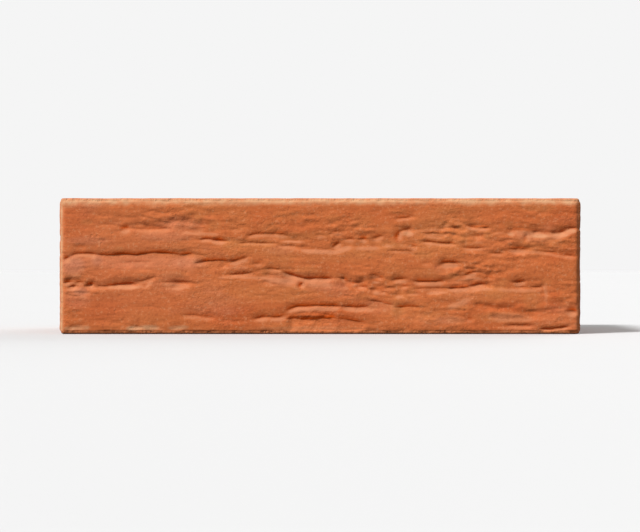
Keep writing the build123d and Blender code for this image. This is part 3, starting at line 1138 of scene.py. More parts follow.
@dataclass(frozen=True)
class OuterShell:
    """The upright faces, the rounded edges round them and a rim of each bed."""

    size: BrickSize
    density: MeshDensity
    rim_steps: tuple[float, ...] = (1.2 * MM, 2.2 * MM)

    def build(self) -> bmesh.types.BMesh:
        """Draws the outline, lifts it to walls and turns both ends in over the beds.

        Returns:
            The shell, open where the perforated core goes.
        """
        mesh = bmesh.new()
        self._outline(mesh)
        self._walls(mesh)
        self._round_bed_edges(mesh)
        for height in (0.0, self.size.height):
            self._bed_rim(mesh, height)
        return mesh

    def _outline(self, mesh: bmesh.types.BMesh) -> None:
        """Draws a rectangle with rounded corners, its sides divided for the relief to come.

        Args:
            mesh: The shell in the making.
        """
        bmesh.ops.create_grid(mesh, x_segments=1, y_segments=1, size=0.5)
        bmesh.ops.scale(mesh, verts=mesh.verts[:], vec=(self.size.length, self.size.width, 1.0))
        bmesh.ops.bevel(mesh, geom=mesh.verts[:], offset=self.size.corner_radius, affect="VERTICES",
                        segments=self.density.corner_steps, profile=0.5, material=-1)
        for side in Side:
            edge = max(mesh.edges, key=lambda e: side.facing(*((e.verts[0].co + e.verts[1].co).xy)))
            bmesh.ops.subdivide_edges(mesh, edges=[edge], cuts=self.density.columns(side) - 1)
        bmesh.ops.delete(mesh, geom=mesh.faces[:], context="FACES_ONLY")

    def _walls(self, mesh: bmesh.types.BMesh) -> None:
        """Extrudes the outline upwards, over the length of the wall and both rounded edges.

        Args:
            mesh: The shell in the making.
        """
        lifted = bmesh.ops.extrude_edge_only(mesh, edges=mesh.edges[:])["geom"]
        top = [g for g in lifted if isinstance(g, bmesh.types.BMVert)]
        bmesh.ops.translate(mesh, verts=top, vec=(0.0, 0.0, self._profile_length()))
        upright = [e for e in mesh.edges if abs(e.verts[0].co.z - e.verts[1].co.z) > MM]
        bmesh.ops.subdivide_edges(mesh, edges=upright, cuts=self.density.rows - 1)

    def _profile_length(self) -> float:
        """The length up a wall, with the quarter round at its foot and the one at its head."""
        return self.size.height + (math.pi - 2.0) * self.size.edge_radius

    def _round_bed_edges(self, mesh: bmesh.types.BMesh) -> None:
        """Bends the foot and the head of the walls in to a quarter round.

        Args:
            mesh: The shell in the making.
        """
        radius, total = self.size.edge_radius, self._profile_length()
        half = (self.size.length / 2, self.size.width / 2)
        levels: dict[float, list[bmesh.types.BMVert]] = {}
        for vert in mesh.verts:
            levels.setdefault(round(vert.co.z / MM, 4), []).append(vert)
        for verts in levels.values():
            run = verts[0].co.z
            angle = min(min(run, total - run) / radius, math.pi / 2)
            low = radius * (1.0 - math.cos(angle))
            if angle < math.pi / 2:
                height = low if run < total / 2 else self.size.height - low
            else:
                height = run - (math.pi / 2 - 1.0) * radius
            shrink_plan(verts, half, self.size.corner_radius, radius * (1.0 - math.sin(angle)))
            for vert in verts:
                vert.co.z = height

    def _bed_rim(self, mesh: bmesh.types.BMesh, height: float) -> None:
        """Carries the skin a few millimetres in over one bed.

        Args:
            mesh: The shell in the making.
            height: The height of the bed, in metres.
        """
        inset = self.size.edge_radius
        for step in self.rim_steps:
            grown = bmesh.ops.extrude_edge_only(mesh, edges=level_border(mesh, height))["geom"]
            verts = [g for g in grown if isinstance(g, bmesh.types.BMVert)]
            half = (self.size.length / 2 - inset, self.size.width / 2 - inset)
            radius = max(self.size.corner_radius - inset, TIGHTEST_CORNER)
            shrink_plan(verts, half, radius, step)
            inset += step


@dataclass(frozen=True)
class PerforatedCore:
    """The beds between the holes and the walls of the holes, made of like square cells."""

    size: BrickSize
    density: MeshDensity
    rim_radius: float = 0.6 * MM
    # The steps round a rim as parts of a half turn, and the bed's rings as shares of the way out
    rim_turns: tuple[float, ...] = (0.0, 0.25, 0.5)
    ring_shares: tuple[float, ...] = (1.0, 0.6, 0.3)
    weld: float = 0.02 * MM

    def build(self) -> bmesh.types.BMesh:
        """Makes one cell, copies it over the grid of holes and joins the copies.

        Returns:
            The core, open round its outside at both beds.
        """
        mesh = self._cell()
        cell = mesh.verts[:] + mesh.edges[:] + mesh.faces[:]
        first, *others = self.size.hole_centres()
        for x, y in others:
            copied = bmesh.ops.duplicate(mesh, geom=cell)["geom"]
            verts = [g for g in copied if isinstance(g, bmesh.types.BMVert)]
            bmesh.ops.translate(mesh, verts=verts, vec=(x, y, 0.0))
        verts = [g for g in cell if isinstance(g, bmesh.types.BMVert)]
        bmesh.ops.translate(mesh, verts=verts, vec=(*first, 0.0))
        bmesh.ops.remove_doubles(mesh, verts=mesh.verts[:], dist=self.weld)
        return mesh

    def _cell(self) -> bmesh.types.BMesh:
        """Spins the section of one hole and the bed beside it, and squares its outside.

        Returns:
            The cell, with its hole at the origin.
        """
        mesh = bmesh.new()
        section = [mesh.verts.new((radius, 0.0, height)) for radius, height in self._section()]
        edges = [mesh.edges.new(pair) for pair in zip(section, section[1:])]
        bmesh.ops.spin(mesh, geom=section + edges, cent=(0.0, 0.0, 0.0), axis=(0.0, 0.0, 1.0),
                       dvec=(0.0, 0.0, 0.0), angle=2.0 * math.pi, space=Matrix.Identity(4),
                       steps=self.density.hole_steps, use_merge=True)
        half = Vector((self.size.pitch_along / 2, self.size.pitch_across / 2))
        round_to = self.size.hole_radius + self.rim_radius
        for vert in mesh.verts:
            radius = vert.co.xy.length
            square = vert.co.xy / max(abs(vert.co.x), abs(vert.co.y)) * half
            share = max(0.0, (radius - round_to) / (half.x - round_to))
            vert.co.xy = vert.co.xy.lerp(square * radius / half.x, share)
        return mesh

    def _section(self) -> list[Point]:
        """Draws half the section of a cell, from the upper bed down the hole to the lower.

        Returns:
            The section's corners, each as radius and height.
        """
        radius, height, rim = self.size.hole_radius, self.size.height, self.rim_radius
        outside = self.size.pitch_along / 2
        upper = [(share * outside + (1.0 - share) * radius, height) for share in self.ring_shares]
        for turn in self.rim_turns:
            angle = turn * math.pi
            upper.append((radius + rim * (1.0 - math.sin(angle)), height - rim * (1.0 - math.cos(angle))))
        steps = self.density.bore_rows
        drop = (height - 2 * rim) / steps
        wall = [(radius, height - rim - drop * step) for step in range(1, steps)]
        lower = [(r, height - z) for r, z in reversed(upper)]
        return upper + wall + lower


@dataclass
class ReliefPoints:
    """The points of the smooth brick as arrays in millimetres, with their directions outwards."""

    places: Array
    outward: Array
    size: BrickSize

    def upright(self) -> Array:
        """1 on the upright faces, falling to 0 over the rounded bed edges."""
        return 1.0 - self.outward[:, 2] ** 2

    def side_share(self, side: Side) -> Array:
        """How much of each point belongs to one upright face, shared out over the corners.

        Args:
            side: The face.

        Returns:
            A share from 0 to 1 for each point.
        """
        least = 1e-6
        plan = np.maximum(np.hypot(self.outward[:, 0], self.outward[:, 1]), least)
        facing = side.facing(self.outward[:, 0], self.outward[:, 1]) / plan
        return np.where(self.in_bore(), 0.0, np.maximum(facing, 0.0) ** 2) * self.upright()

    def in_bore(self) -> Array:
        """True for the points of the holes' walls and rims."""
        rim = 1.0
        return self.hole_distance() < self.size.hole_radius / MM + rim

    def on_bed(self) -> Array:
        """1 on the flat beds, falling to 0 over their rounded edges, and 0 in the holes."""
        return np.where(self.in_bore(), 0.0, self.outward[:, 2] ** 2)

    def on_edge(self) -> Array:
        """1 along the middle of each rounded edge and corner, and 0 on the flat faces."""
        nx, ny, nz = (self.outward**2).T
        return np.where(self.in_bore(), 0.0, np.clip(4.0 * nz * (1.0 - nz) + 4.0 * nx * ny, 0.0, 1.0))

    def hole_distance(self) -> Array:
        """The distance in plan to the middle of the nearest hole."""
        offsets = self.places[:, None, :2] - np.array(self.size.hole_centres()) / MM
        return np.hypot(offsets[:, :, 0], offsets[:, :, 1]).min(axis=1)


@dataclass(frozen=True)
class ClayBrick:
    """The whole brick: one closed skin with its relief, and the marks that its finish reads."""

    size: BrickSize
    density: MeshDensity = MeshDensity()
    name: str = "clay_brick"
    # The relief away from the upright faces, in millimetres
    bed_depth: float = 0.18
    edge_depth: float = 0.22
    bore_depth: float = 0.11
    deepest: float = 2.4
    bed_waves: Grain = Grain(71, 8.0, 26.0, amount=0.16)
    edge_waves: Grain = Grain(71, 11.0, 9.0, amount=0.2)
    bore_lines: Grain = Grain(71, 1.0, 1.0, 1, amount=0.06)
    # How faint a face's share of a point may be, and how much of a crease is lost on an edge
    least_share: float = 0.001
    healed_edge: float = 0.8

    def build(self) -> bpy.types.Object:
        """Builds the smooth brick, presses the relief into it and puts it in the scene.

        Returns:
            The finished object, with the marks stored on its mesh.
        """
        mesh = self._smooth_brick()
        data = bpy.data.meshes.new(self.name)
        mesh.to_mesh(data)
        mesh.free()
        self._press_relief(data)
        data.shade_smooth()
        brick = bpy.data.objects.new(self.name, data)
        bpy.context.scene.collection.objects.link(brick)
        return brick

    def _smooth_brick(self) -> bmesh.types.BMesh:
        """Joins the shell to the core with a strip round each bed.

        Returns:
            The closed brick, with its faces outwards.
        """
        mesh = OuterShell(self.size, self.density).build()
        core = PerforatedCore(self.size, self.density).build()
        carrier = bpy.data.meshes.new("core")
        core.to_mesh(carrier)
        core.free()
        mesh.from_mesh(carrier)
        bpy.data.meshes.remove(carrier)
        for height in (0.0, self.size.height):
            border = level_border(mesh, height)
            bmesh.ops.triangle_fill(mesh, edges=border, use_beauty=True, normal=(0.0, 0.0, 1.0))
        bmesh.ops.recalc_face_normals(mesh, faces=mesh.faces[:])
        open_edges = sum(not e.is_manifold for e in mesh.edges)
        LOG.info("smooth brick: %d faces, %d open edges", len(mesh.faces), open_edges)
        return mesh

    def _press_relief(self, data: bpy.types.Mesh) -> None:
        """Moves each point inwards by the relief's depth there, and stores the finish's marks.

        Args:
            data: The mesh of the smooth brick.
        """
        count = len(data.vertices)
        places, outward = np.empty(count * 3), np.empty(count * 3)
        data.vertices.foreach_get("co", places)
        data.vertex_normals.foreach_get("vector", outward)
        points = ReliefPoints(places.reshape(-1, 3) / MM, outward.reshape(-1, 3), self.size)
        self._gather_rows(points)
        depth, marks = self._depth(points)
        moved = points.places - points.outward * depth[:, None]
        data.vertices.foreach_set("co", (moved * MM).ravel())
        marks[Skin.BARK.value] = sum(points.side_share(s) for s in Side if s is not Side.BACK)
        marks[Skin.DIE.value] = points.side_share(Side.BACK)
        marks[Skin.WIRE_CUT.value] = points.on_bed()
        marks[Skin.BORE.value] = points.in_bore()
        for name, values in marks.items():
            mark = data.attributes.new(name, "FLOAT", "POINT")
            mark.data.foreach_set("value", values.astype(np.float32))
        data.update()

    def _gather_rows(self, points: ReliefPoints) -> None:
        """Slides points up or down their face towards the tears near them.

        Args:
            points: The points of the smooth brick, whose places change.
        """
        x, y, z = points.places.T
        mostly = 0.6
        for side, face in self._faces().items():
            if not isinstance(face, BarkFace):
                continue
            on = points.side_share(side) > mostly
            u = side.rightward(x[on], y[on]) + self.size.side_length(side) / MM / 2
            points.places[on, 2] = face.gathered(u, z[on])

    def _depth(self, points: ReliefPoints) -> tuple[Array, dict[str, Array]]:
        """The inward depth of each point in millimetres, and the marks that come of the relief.

        Args:
            points: The points of the smooth brick.

        Returns:
            The depths, and by name: how much painted shade of the creases, how turned to the light,
            how pale from rubbing and painted highlight, and how much of each other tone each point is.
        """
        x, y, z = points.places.T
        depth = np.zeros_like(x)
        marks = {name: np.zeros_like(x) for name in (CREASE_SHADE, LIT, *(tone.value for tone in Tone))}
        edge = points.on_edge()
        for side, face in self._faces().items():
            share = points.side_share(side)
            on = share > self.least_share
            u, v = side.rightward(x[on], y[on]) + self.size.side_length(side) / MM / 2, z[on]
            depth[on] += share[on] * face.depth(u, v)
            if isinstance(face, BarkFace):
                added, torn, lit = face.creased(u, v)
                kept = share[on] * (1.0 - self.healed_edge * edge[on])
                depth[on] += kept * added
                # The creases' painted shade and the painted highlight of their lit slopes
                marks[CREASE_SHADE][on] += kept * torn
                marks[LIT][on] += kept * lit
                marks[Tone.WORN_AND_LIT.value][on] += share[on] * face.wear(u, v)
                for tone, patches in face.tones.items():
                    marks[tone.value][on] += share[on] * patched(patches, u, v)
        # Pale on the rounded edges: faint rubbing all round, and painted highlight where they face the
        # lamp
        marks[Tone.WORN_AND_LIT.value] = np.maximum(marks[Tone.WORN_AND_LIT.value], self._edge_rubbing_and_highlight(points))
        return np.clip(depth + self._plain_depth(points), 0.0, self.deepest), marks

    def _plain_depth(self, points: ReliefPoints) -> Array:
        """The inward depth of the beds, of the rounded edges and of the holes' walls.

        Args:
            points: The points of the smooth brick.

        Returns:
            Millimetres for each point, 0 on the upright faces.
        """
        x, y, z = points.places.T
        bed_apart, edge_slant, bore_turn, bore_run = 30.0, 40.0, 40.0, 80.0
        bed_push = (np.sign(z - 1.0) * bed_apart, 0.0)
        bed = self.bed_depth + self.bed_waves.over(x, y, push=bed_push)
        edge = self.edge_depth + self.edge_waves.over(x + y, z, push=(0.0, (x - y) / edge_slant))
        lines = self.bore_lines.over(np.arctan2(y, x) * bore_turn, (x + y) / 2.0 + z / bore_run)
        bore = np.where(points.in_bore(), self.bore_depth + lines, 0.0)
        return points.on_bed() * bed + points.on_edge() * edge + bore

    @staticmethod
    def _edge_rubbing_and_highlight(points: ReliefPoints) -> Array:
        """How pale the rounded edges are: faintly all round from rubbing, and plainly where they face the
        light as painted highlight.

        Args:
            points: The points of the smooth brick.

        Returns:
            A share from 0 to 1 for each point.
        """
        faint, lit_from, lit_span = 0.2, (-0.6, -0.2, 0.8), (-0.1, 0.6)
        edge = points.on_edge()
        lit_edge = edge * smooth_step(points.outward @ np.array(lit_from), *lit_span)
        return faint * edge + (1.0 - faint) * lit_edge

    def _faces(self) -> dict[Side, BarkFace | DieFace]:
        """Sets out what each upright face is like.

        Returns:
            The relief of each face, in millimetres.
        """
        height = self.size.height / MM
        front, header = self.size.length / MM, self.size.width / MM
        mapped = FRONT_TEARS + FRONT_SWELLS
        filler = StrayTears(seed=11, count=70, longest=14.0, deepest=0.22)
        return {
            Side.FRONT: BarkFace(front, height, mapped + filler.draw(front, height), 5,
                                 FRONT_CRUMBS, FRONT_TONES, pale_left=True, nudge=(0.7, -0.5)),
            Side.RIGHT: BarkFace(header, height, StrayTears(23, 44, 42.0, 1.0).draw(header, height), 6,
                                 end_fade=9.0),
            Side.LEFT: BarkFace(header, height, StrayTears(38, 44, 42.0, 1.0).draw(header, height), 7,
                                end_fade=9.0),
            Side.BACK: DieFace(seed=8),
        }


@dataclass(frozen=True)
class Pattern:
    """A cloudy noise in a finish: its cells a metre, all round or by axis, its detail and roughness."""

    cells: float | tuple[float, float, float]
    detail: float = 2.0
    rough: float = 0.5


@dataclass(frozen=True)
class Dots:
    """Scattered dots in a finish: cells a metre, how much of a cell each fills, and how strong.

    The middle is the part of a dot that has its full strength.
    """

    cells: float
    share: float
    strength: float = 1.0
    middle: float = 0.4


class NodeRecipe:
    """Adds and links the nodes of one material, so that a finish reads as a recipe."""

    # The mix node's sockets for colours by number, as others share their names
    SHARE, UNDER, OVER, MIXED = 0, 6, 7, 2

    def __init__(self, name: str) -> None:
        """Starts a material with its shader and output alone.

        Args:
            name: The material's name.
        """
        self.material = bpy.data.materials.new(name)
        self.material.use_nodes = True
        self.tree = self.material.node_tree
        self.shader = self.tree.nodes["Principled BSDF"]
        self.place = self._add("TexCoord", {}, "Object")

    def _add(self, kind: str, inputs: dict[str | int, object], output: str | int = 0,
             **settings: object) -> Socket:
        """Adds one node.

        Args:
            kind: Which node, without the words that all shader nodes start with.
            inputs: What goes in by name or number, each a socket to link or a plain value.
            output: Which output is wanted.
            **settings: The node's other settings.

        Returns:
            That output.
        """
        node = self.tree.nodes.new("ShaderNode" + kind)
        for name, value in settings.items():
            setattr(node, name, value)
        for name, value in inputs.items():
            self.feed(node.inputs[name], value)
        return node.outputs[output]

    def feed(self, socket: Socket, value: object) -> None:
        """Links an output to a socket, or sets the socket to a plain value.

        Args:
            socket: The socket to feed.
            value: The output or the value.
        """
        if isinstance(value, Socket):
            self.tree.links.new(value, socket)
        else:
            socket.default_value = value

    def mark(self, name: str) -> Socket:
        """The number that the mesh stores under a name."""
        return self._add("Attribute", {}, "Fac", attribute_name=name)

    def noise(self, pattern: Pattern) -> Socket:
        """Cloudy noise from 0 to 1, drawn out along the axes that have fewer cells.

        Args:
            pattern: How fine and how rough the noise is.

        Returns:
            The noise's output.
        """
        place, scale = self.place, pattern.cells
        if isinstance(scale, tuple):
            place, scale = self._add("Mapping", {"Vector": place, "Scale": scale}), 1.0
        inputs = {"Vector": place, "Scale": scale, "Detail": pattern.detail, "Roughness": pattern.rough}
        return self._add("TexNoise", inputs, "Fac")

    def scattered(self, dots: Dots) -> Socket:
        """Small dots, at their full strength in the middle of each and 0 between them."""
        away = self._add("TexVoronoi", {"Vector": self.place, "Scale": dots.cells}, "Distance")
        return self.times(self.grade(away, (dots.share, dots.share * dots.middle)), dots.strength)

    def grade(self, value: Socket, span: Point, bottom: float = 0.0, top: float = 1.0) -> Socket:
        """Maps the span's ends to bottom and top, softly and without going past either."""
        ends = {"From Min": span[0], "From Max": span[1], "To Min": bottom, "To Max": top}
        return self._add("MapRange", {"Value": value, **ends}, "Result", interpolation_type="SMOOTHSTEP")

    def sum(self, *terms: tuple[Socket, float]) -> Socket:
        """Adds sockets, each times its weight.

        Args:
            *terms: Each socket with its weight.

        Returns:
            The total.
        """
        total: Socket | float = 0.0
        for value, weight in terms:
            total = self._add("Math", {0: value, 1: weight, 2: total}, operation="MULTIPLY_ADD")
        return total

    def times(self, first: Socket, second: Socket | float) -> Socket:
        """One socket times another socket or number."""
        return self._add("Math", {0: first, 1: second}, operation="MULTIPLY")

    def swing(self, value: Socket, where: Socket, middle: float = 0.5) -> Socket:
        """A value less its middle, times a mark, so that no step shows where the mark ends."""
        return self.times(self._add("Math", {0: value, 1: middle}, operation="SUBTRACT"), where)

    def within(self, value: Socket) -> Socket:
        """The value, held between 0 and 1."""
        return self._add("Clamp", {"Value": value}, "Result")

    def blend(self, share: Socket, under: Socket | Colour, over: Colour) -> Socket:
        """Lays a colour over another.

        Args:
            share: How much of the upper colour shows, from 0 to 1.
            under: The lower colour, from a socket or plain.
            over: The upper colour.

        Returns:
            The socket that gives the blend.
        """
        below = under if isinstance(under, Socket) else (*under, 1.0)
        inputs = {self.SHARE: share, self.UNDER: below, self.OVER: (*over, 1.0)}
        return self._add("Mix", inputs, self.MIXED, data_type="RGBA")

    def bump(self, height: Socket, distance: float) -> None:
        """Lets the shader's normal follow a height that spans a distance in metres."""
        normal = self._add("Bump", {"Strength": 1.0, "Distance": distance, "Height": height}, "Normal")
        self.feed(self.shader.inputs["Normal"], normal)


@dataclass(frozen=True)
class ClayColour:
    """The colours of the fired clay, and the patterns that lay them over one another."""

    body: Colour = (0.530, 0.140, 0.043)
    redder: Colour = (0.490, 0.106, 0.030)
    sandier: Colour = (0.545, 0.170, 0.054)
    dust: Colour = (0.560, 0.200, 0.106)
    # Painted shade, deep red, for the undersides of the creases
    torn_shade: Colour = (0.640, 0.086, 0.003)
    lit_lip: Colour = (0.530, 0.200, 0.094)
    # Pale of rubbed edges, and painted highlight on the edges and ledges that face the lamp
    pale_rubbed_and_lit: Colour = (0.600, 0.325, 0.172)
    dark_speck: Colour = (0.300, 0.070, 0.028)
    pale_speck: Colour = (0.640, 0.270, 0.130)
    # How much the clouds and the mapped patches each add, and how much of the drag lines shows
    cloudiness: float = 0.5
    patchiness: float = 0.8
    dustiness: float = 0.7
    drag_stain: float = 0.38
    slide_stain: float = 0.85
    # The patterns, and between which of their values each colour comes in
    clouds: Pattern = Pattern((17.0, 17.0, 34.0), 3.0)
    red_span: Point = (0.50, 0.72)
    sandy_span: Point = (0.48, 0.28)
    veil: Pattern = Pattern((26.0, 26.0, 70.0), 4.0, 0.6)
    veil_span: Point = (0.52, 0.80)
    most_veil: float = 0.40
    sand: Pattern = Pattern(700.0, 3.0, 0.65)
    dark_span: Point = (0.54, 0.70)
    pale_span: Point = (0.46, 0.30)
    speckle: float = 0.40
    drags: Pattern = Pattern((300.0, 16.0, 16.0))
    drag_span: Point = (0.50, 0.72)
    slides: Pattern = Pattern((240.0, 240.0, 20.0))
    slide_span: Point = (0.48, 0.72)
    dark_dots: Dots = Dots(520.0, 0.18, 0.35)
    pale_dots: Dots = Dots(430.0, 0.16, 0.30)
    scuffs: Pattern = Pattern(210.0, 3.0)
    scuff_span: Point = (0.3, 0.6)
    least_scuff: float = 0.5
    lit_span: Point = (0.03, 0.50)
    most_lit: float = 0.75
    crease_shade_span: Point = (0.08, 0.85)
    most_crease_shade: float = 0.90

    def mixed(self, recipe: NodeRecipe) -> Socket:
        """The clay's colour, from the body out to the wear of its edges.

        Args:
            recipe: The material that the nodes go into.

        Returns:
            The socket that gives the colour.
        """
        colour = self._streaked(recipe, self._sprinkled(recipe, self._clouded(recipe)))
        lit = recipe.grade(recipe.mark(LIT), self.lit_span, top=self.most_lit)
        colour = recipe.blend(lit, colour, self.lit_lip)
        # Painted shade over the undersides of the creases, from the torn mark
        torn = recipe.grade(recipe.mark(CREASE_SHADE), self.crease_shade_span, top=self.most_crease_shade)
        colour = recipe.blend(torn, colour, self.torn_shade)
        scuffs = recipe.grade(recipe.noise(self.scuffs), self.scuff_span, bottom=self.least_scuff)
        # The pale of rubbed edges and painted highlight where edges and ledges face the lamp
        colour = recipe.blend(recipe.times(recipe.mark(Tone.WORN_AND_LIT.value), scuffs), colour, self.pale_rubbed_and_lit)
        colour = recipe.blend(recipe.scattered(self.dark_dots), colour, self.dark_speck)
        return recipe.blend(recipe.scattered(self.pale_dots), colour, self.pale_speck)

    def _clouded(self, recipe: NodeRecipe) -> Socket:
        """The body with its redder and sandier clouds and its veils of dust.

        Args:
            recipe: The material that the nodes go into.

        Returns:
            The socket that gives this colour.
        """
        clouds = recipe.noise(self.clouds)
        red = recipe.sum((recipe.grade(clouds, self.red_span), self.cloudiness),
                         (recipe.mark(Tone.REDDER.value), self.patchiness))
        colour = recipe.blend(recipe.within(red), self.body, self.redder)
        sandy = recipe.sum((recipe.grade(clouds, self.sandy_span), self.cloudiness),
                           (recipe.mark(Tone.SANDIER.value), self.patchiness))
        colour = recipe.blend(recipe.within(sandy), colour, self.sandier)
        veil = recipe.grade(recipe.noise(self.veil), self.veil_span, top=self.most_veil)
        pale = recipe.sum((veil, 1.0), (recipe.mark(Tone.PALER.value), self.dustiness))
        return recipe.blend(recipe.within(pale), colour, self.dust)

    def _sprinkled(self, recipe: NodeRecipe, colour: Socket) -> Socket:
        """Sprinkles dark and pale sand over a colour.

        Args:
            recipe: The material that the nodes go into.
            colour: The colour under the sand.

        Returns:
            The socket that gives the sandy colour.
        """
        sand = recipe.noise(self.sand)
        for span, speck in ((self.dark_span, self.dark_speck), (self.pale_span, self.pale_speck)):
            colour = recipe.blend(recipe.grade(sand, span, top=self.speckle), colour, speck)
        return colour

    def _streaked(self, recipe: NodeRecipe, colour: Socket) -> Socket:
        """Lays the redder marks of the wire over the beds and the sandier ones of the die over the back.

        Args:
            recipe: The material that the nodes go into.
            colour: The colour under the stains.

        Returns:
            The socket that gives the streaked colour.
        """
        wire_cut, die = recipe.mark(Skin.WIRE_CUT.value), recipe.mark(Skin.DIE.value)
        dragged = recipe.times(recipe.grade(recipe.noise(self.drags), self.drag_span), wire_cut)
        colour = recipe.blend(recipe.times(dragged, self.drag_stain), colour, self.redder)
        slid = recipe.times(recipe.grade(recipe.noise(self.slides), self.slide_span), die)
        return recipe.blend(recipe.times(slid, self.slide_stain), colour, self.sandier)


@dataclass(frozen=True)
class ClayGrain:
    """The fine relief of the fired clay, each pattern with its weight in the height."""

    distance: float = 0.22 * MM
    patches: Pattern = Pattern(60.0)
    patch_span: Point = (0.35, 0.65)
    least_patch: float = 0.35
    grain: Pattern = Pattern(1500.0, 3.0, 0.65)
    crumbs: Pattern = Pattern(620.0, 2.0, 0.6)
    bark_streaks: Pattern = Pattern((70.0, 70.0, 420.0), 3.0)
    wire_lines: Pattern = Pattern((700.0, 26.0, 26.0), 3.0)
    wire_furrows: Pattern = Pattern((240.0, 9.0, 9.0))
    pulled_crumbs: Pattern = Pattern(330.0, 3.0, 0.7)
    pulled_span: Point = (0.50, 0.75)
    pulled_middle: float = 0.2
    die_lines: Pattern = Pattern((800.0, 800.0, 16.0))
    die_ribs: Pattern = Pattern((240.0, 240.0, 5.0))
    pit_patches: Pattern = Pattern(90.0)
    pit_span: Point = (0.5, 0.7)
    pits: Dots = Dots(230.0, 0.20)

    def raise_on(self, recipe: NodeRecipe) -> None:
        """Sandy grain all over, streaks in the bark, and the lines of the wire and of the die.

        Args:
            recipe: The material whose normal follows the grain.
        """
        patchy = recipe.grade(recipe.noise(self.patches), self.patch_span, bottom=self.least_patch)
        grain = recipe.times(recipe.noise(self.grain), patchy)
        crumbs = recipe.times(recipe.noise(self.crumbs), patchy)
        pit_patches = recipe.grade(recipe.noise(self.pit_patches), self.pit_span)
        pits = recipe.times(recipe.scattered(self.pits), pit_patches)
        wire_cut, die = recipe.mark(Skin.WIRE_CUT.value), recipe.mark(Skin.DIE.value)
        pulled = recipe.grade(recipe.noise(self.pulled_crumbs), self.pulled_span)
        slid = recipe.sum((recipe.mark(Skin.BORE.value), 1.0), (die, 1.0))
        height = recipe.sum(
            (grain, 0.9),
            (crumbs, 1.2),
            (recipe.swing(recipe.noise(self.bark_streaks), recipe.mark(Skin.BARK.value)), 0.9),
            (recipe.swing(recipe.noise(self.wire_lines), wire_cut), 3.6),
            (recipe.swing(pulled, wire_cut, self.pulled_middle), -2.4),
            (recipe.swing(recipe.noise(self.wire_furrows), wire_cut), 5.0),
            (recipe.swing(recipe.noise(self.die_lines), slid), 1.0),
            (recipe.swing(recipe.noise(self.die_ribs), die), 3.4),
            (pits, -0.7),
        )
        recipe.bump(height, self.distance)


@dataclass(frozen=True)
class FiredClay:
    """The matte orange-red of fired clay, with its sand, its dust, its rubbed edges with painted
    highlight, and painted shade and highlight along its creases.
    """

    colour: ClayColour = ClayColour()
    grain: ClayGrain = ClayGrain()
    roughest: float = 0.94
    smoothest: float = 0.82
    worn_polish: float = -0.06
    polish: Pattern = Pattern(260.0)
    polish_span: Point = (0.3, 0.7)
    refraction: float = 1.45
    gloss: float = 0.06

    def dress(self, brick: bpy.types.Object) -> None:
        """Makes the material and gives it to the brick.

        Args:
            brick: The object to dress, whose mesh holds the marks that the finish reads.
        """
        recipe = NodeRecipe("fired_clay")
        recipe.feed(recipe.shader.inputs["Base Color"], self.colour.mixed(recipe))
        recipe.shader.inputs["IOR"].default_value = self.refraction
        recipe.shader.inputs["Specular IOR Level"].default_value = self.gloss
        sand = recipe.grade(recipe.noise(self.polish), self.polish_span, self.smoothest, self.roughest)
        roughness = recipe.sum((sand, 1.0), (recipe.mark(Tone.WORN_AND_LIT.value), self.worn_polish))
        recipe.feed(recipe.shader.inputs["Roughness"], roughness)
        self.grain.raise_on(recipe)
        brick.data.materials.append(recipe.material)


@dataclass(frozen=True)
class PlainPaint:
    """An even paint for the stage, pale to the eye but sparing with the light that it throws back."""

    seen: Colour = (0.567, 0.567, 0.567)
    thrown: Colour = (0.10, 0.10, 0.10)
    shaded: float = 0.98
    clouds: Pattern = Pattern(3.0)
    roughness: float = 0.95
    gloss: float = 0.1

    def dress(self, stage: bpy.types.Object) -> None:
        """Makes the material, with a faint unevenness, and gives it to the stage.

        Args:
            stage: The floor or backdrop to dress.
        """
        recipe = NodeRecipe("studio_paint")
        shade = tuple(channel * self.shaded for channel in self.seen)
        paint = recipe.blend(recipe.noise(self.clouds), self.seen, shade)
        unseen = recipe.grade(direct_rays(recipe.tree), (1.0, 0.0))
        recipe.feed(recipe.shader.inputs["Base Color"], recipe.blend(unseen, paint, self.thrown))
        recipe.shader.inputs["Roughness"].default_value = self.roughness
        recipe.shader.inputs["Specular IOR Level"].default_value = self.gloss
        stage.data.materials.append(recipe.material)


def direct_rays(tree: bpy.types.NodeTree) -> Socket:
    """Adds what tells a ray from the eye, or one mirrored or let through, from all others.

    Args:
        tree: The nodes of a material or a world.

    Returns:
        A socket that is 1 for such rays and 0 for the rest.
    """
    path = tree.nodes.new("ShaderNodeLightPath")
    total = path.outputs["Is Camera Ray"]
    for name in ("Is Glossy Ray", "Is Transmission Ray"):
        larger = tree.nodes.new("ShaderNodeMath")
        larger.operation = "MAXIMUM"
        tree.links.new(total, larger.inputs[0])
        tree.links.new(path.outputs[name], larger.inputs[1])
        total = larger.outputs[0]
    return total


@dataclass(frozen=True)
class Lamp:
    """A distant soft lamp: where it stands from the brick, how much it gives and how wide it looks."""

    name: str
    towards: tuple[float, float, float]
    level: float
    width_deg: float

    def hang(self) -> None:
        """Puts the lamp in the scene, so that a white sheet square to it would read its level."""
        lamp = bpy.data.lights.new(self.name, "SUN")
        lamp.energy = self.level * math.pi
        lamp.angle = math.radians(self.width_deg)
        holder = bpy.data.objects.new(self.name, lamp)
        holder.rotation_euler = Vector(self.towards).to_track_quat("Z", "Y").to_euler()
        bpy.context.scene.collection.objects.link(holder)


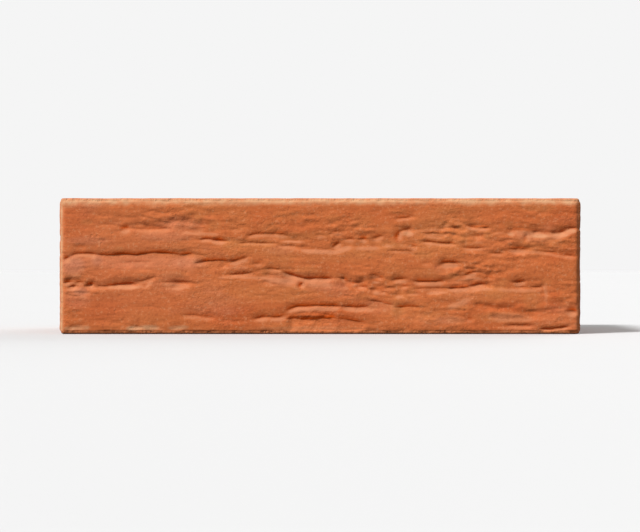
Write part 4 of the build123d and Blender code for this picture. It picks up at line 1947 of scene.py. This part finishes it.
@dataclass(frozen=True)
class Studio:
    """A wide pale floor under an even sky, two soft lamps and the camera."""

    size: BrickSize
    floor_radius: float = 12.0
    floor_sides: int = 96
    lens: float = 120.0
    sensor: float = 36.0
    brick_share: float = 0.82
    sky: float = 0.41
    background: float = 0.913
    lamps: tuple[Lamp, ...] = (
        Lamp("key", (-0.49, -0.50, 0.715), 1.44, 14.0),
        Lamp("back_fill", (0.48, 0.80, 0.38), 0.42, 40.0),
    )

    def build(self) -> None:
        """Puts up the floor, the lamps, the sky and the camera."""
        PlainPaint().dress(self._floor())
        for lamp in self.lamps:
            lamp.hang()
        self._sky()
        self._camera()
        bpy.context.scene.view_settings.view_transform = "Standard"

    def _floor(self) -> bpy.types.Object:
        """Lays a wide round floor at the height of the lower bed.

        Returns:
            The floor, not dressed yet.
        """
        mesh = bmesh.new()
        bmesh.ops.create_circle(mesh, cap_ends=True, segments=self.floor_sides, radius=self.floor_radius)
        data = bpy.data.meshes.new("studio_floor")
        mesh.to_mesh(data)
        mesh.free()
        floor = bpy.data.objects.new("studio_floor", data)
        bpy.context.scene.collection.objects.link(floor)
        return floor

    def _sky(self) -> None:
        """An even white sky that the eye sees as the pale background."""
        world = bpy.data.worlds.new("studio_sky")
        world.use_nodes = True
        tree = world.node_tree
        background = tree.nodes["Background"]
        level = tree.nodes.new("ShaderNodeMapRange")
        level.inputs["To Min"].default_value = self.sky
        level.inputs["To Max"].default_value = self.background
        tree.links.new(direct_rays(tree), level.inputs["Value"])
        tree.links.new(level.outputs["Result"], background.inputs["Strength"])
        background.inputs["Color"].default_value = (1.0, 1.0, 1.0, 1.0)
        bpy.context.scene.world = world

    def _camera(self) -> None:
        """Straight on at the front, level with the middle of the brick."""
        lens = bpy.data.cameras.new("camera")
        lens.lens = self.lens
        lens.sensor_width = self.sensor
        camera = bpy.data.objects.new("camera", lens)
        view_width = self.size.length / self.brick_share
        distance = view_width * self.lens / self.sensor
        camera.location = (0.0, -self.size.width / 2 - distance, self.size.height / 2)
        camera.rotation_euler = (math.pi / 2, 0.0, 0.0)
        bpy.context.scene.collection.objects.link(camera)
        bpy.context.scene.camera = camera


def main() -> None:
    """Builds the brick and the studio, and reports each piece."""
    logging.basicConfig(level=logging.INFO, format="%(name)s: %(message)s")
    size = BrickSize.from_frame()
    brick = ClayBrick(size).build()
    FiredClay().dress(brick)
    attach(brick, "root")
    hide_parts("brick")
    triangles = sum(len(face.vertices) - 2 for face in brick.data.polygons)
    LOG.info("%s: %d triangles", brick.name, triangles)
    Studio(size).build()
    LOG.info("studio: floor, lamps, sky and camera")


if __name__ == "__main__":
    main()
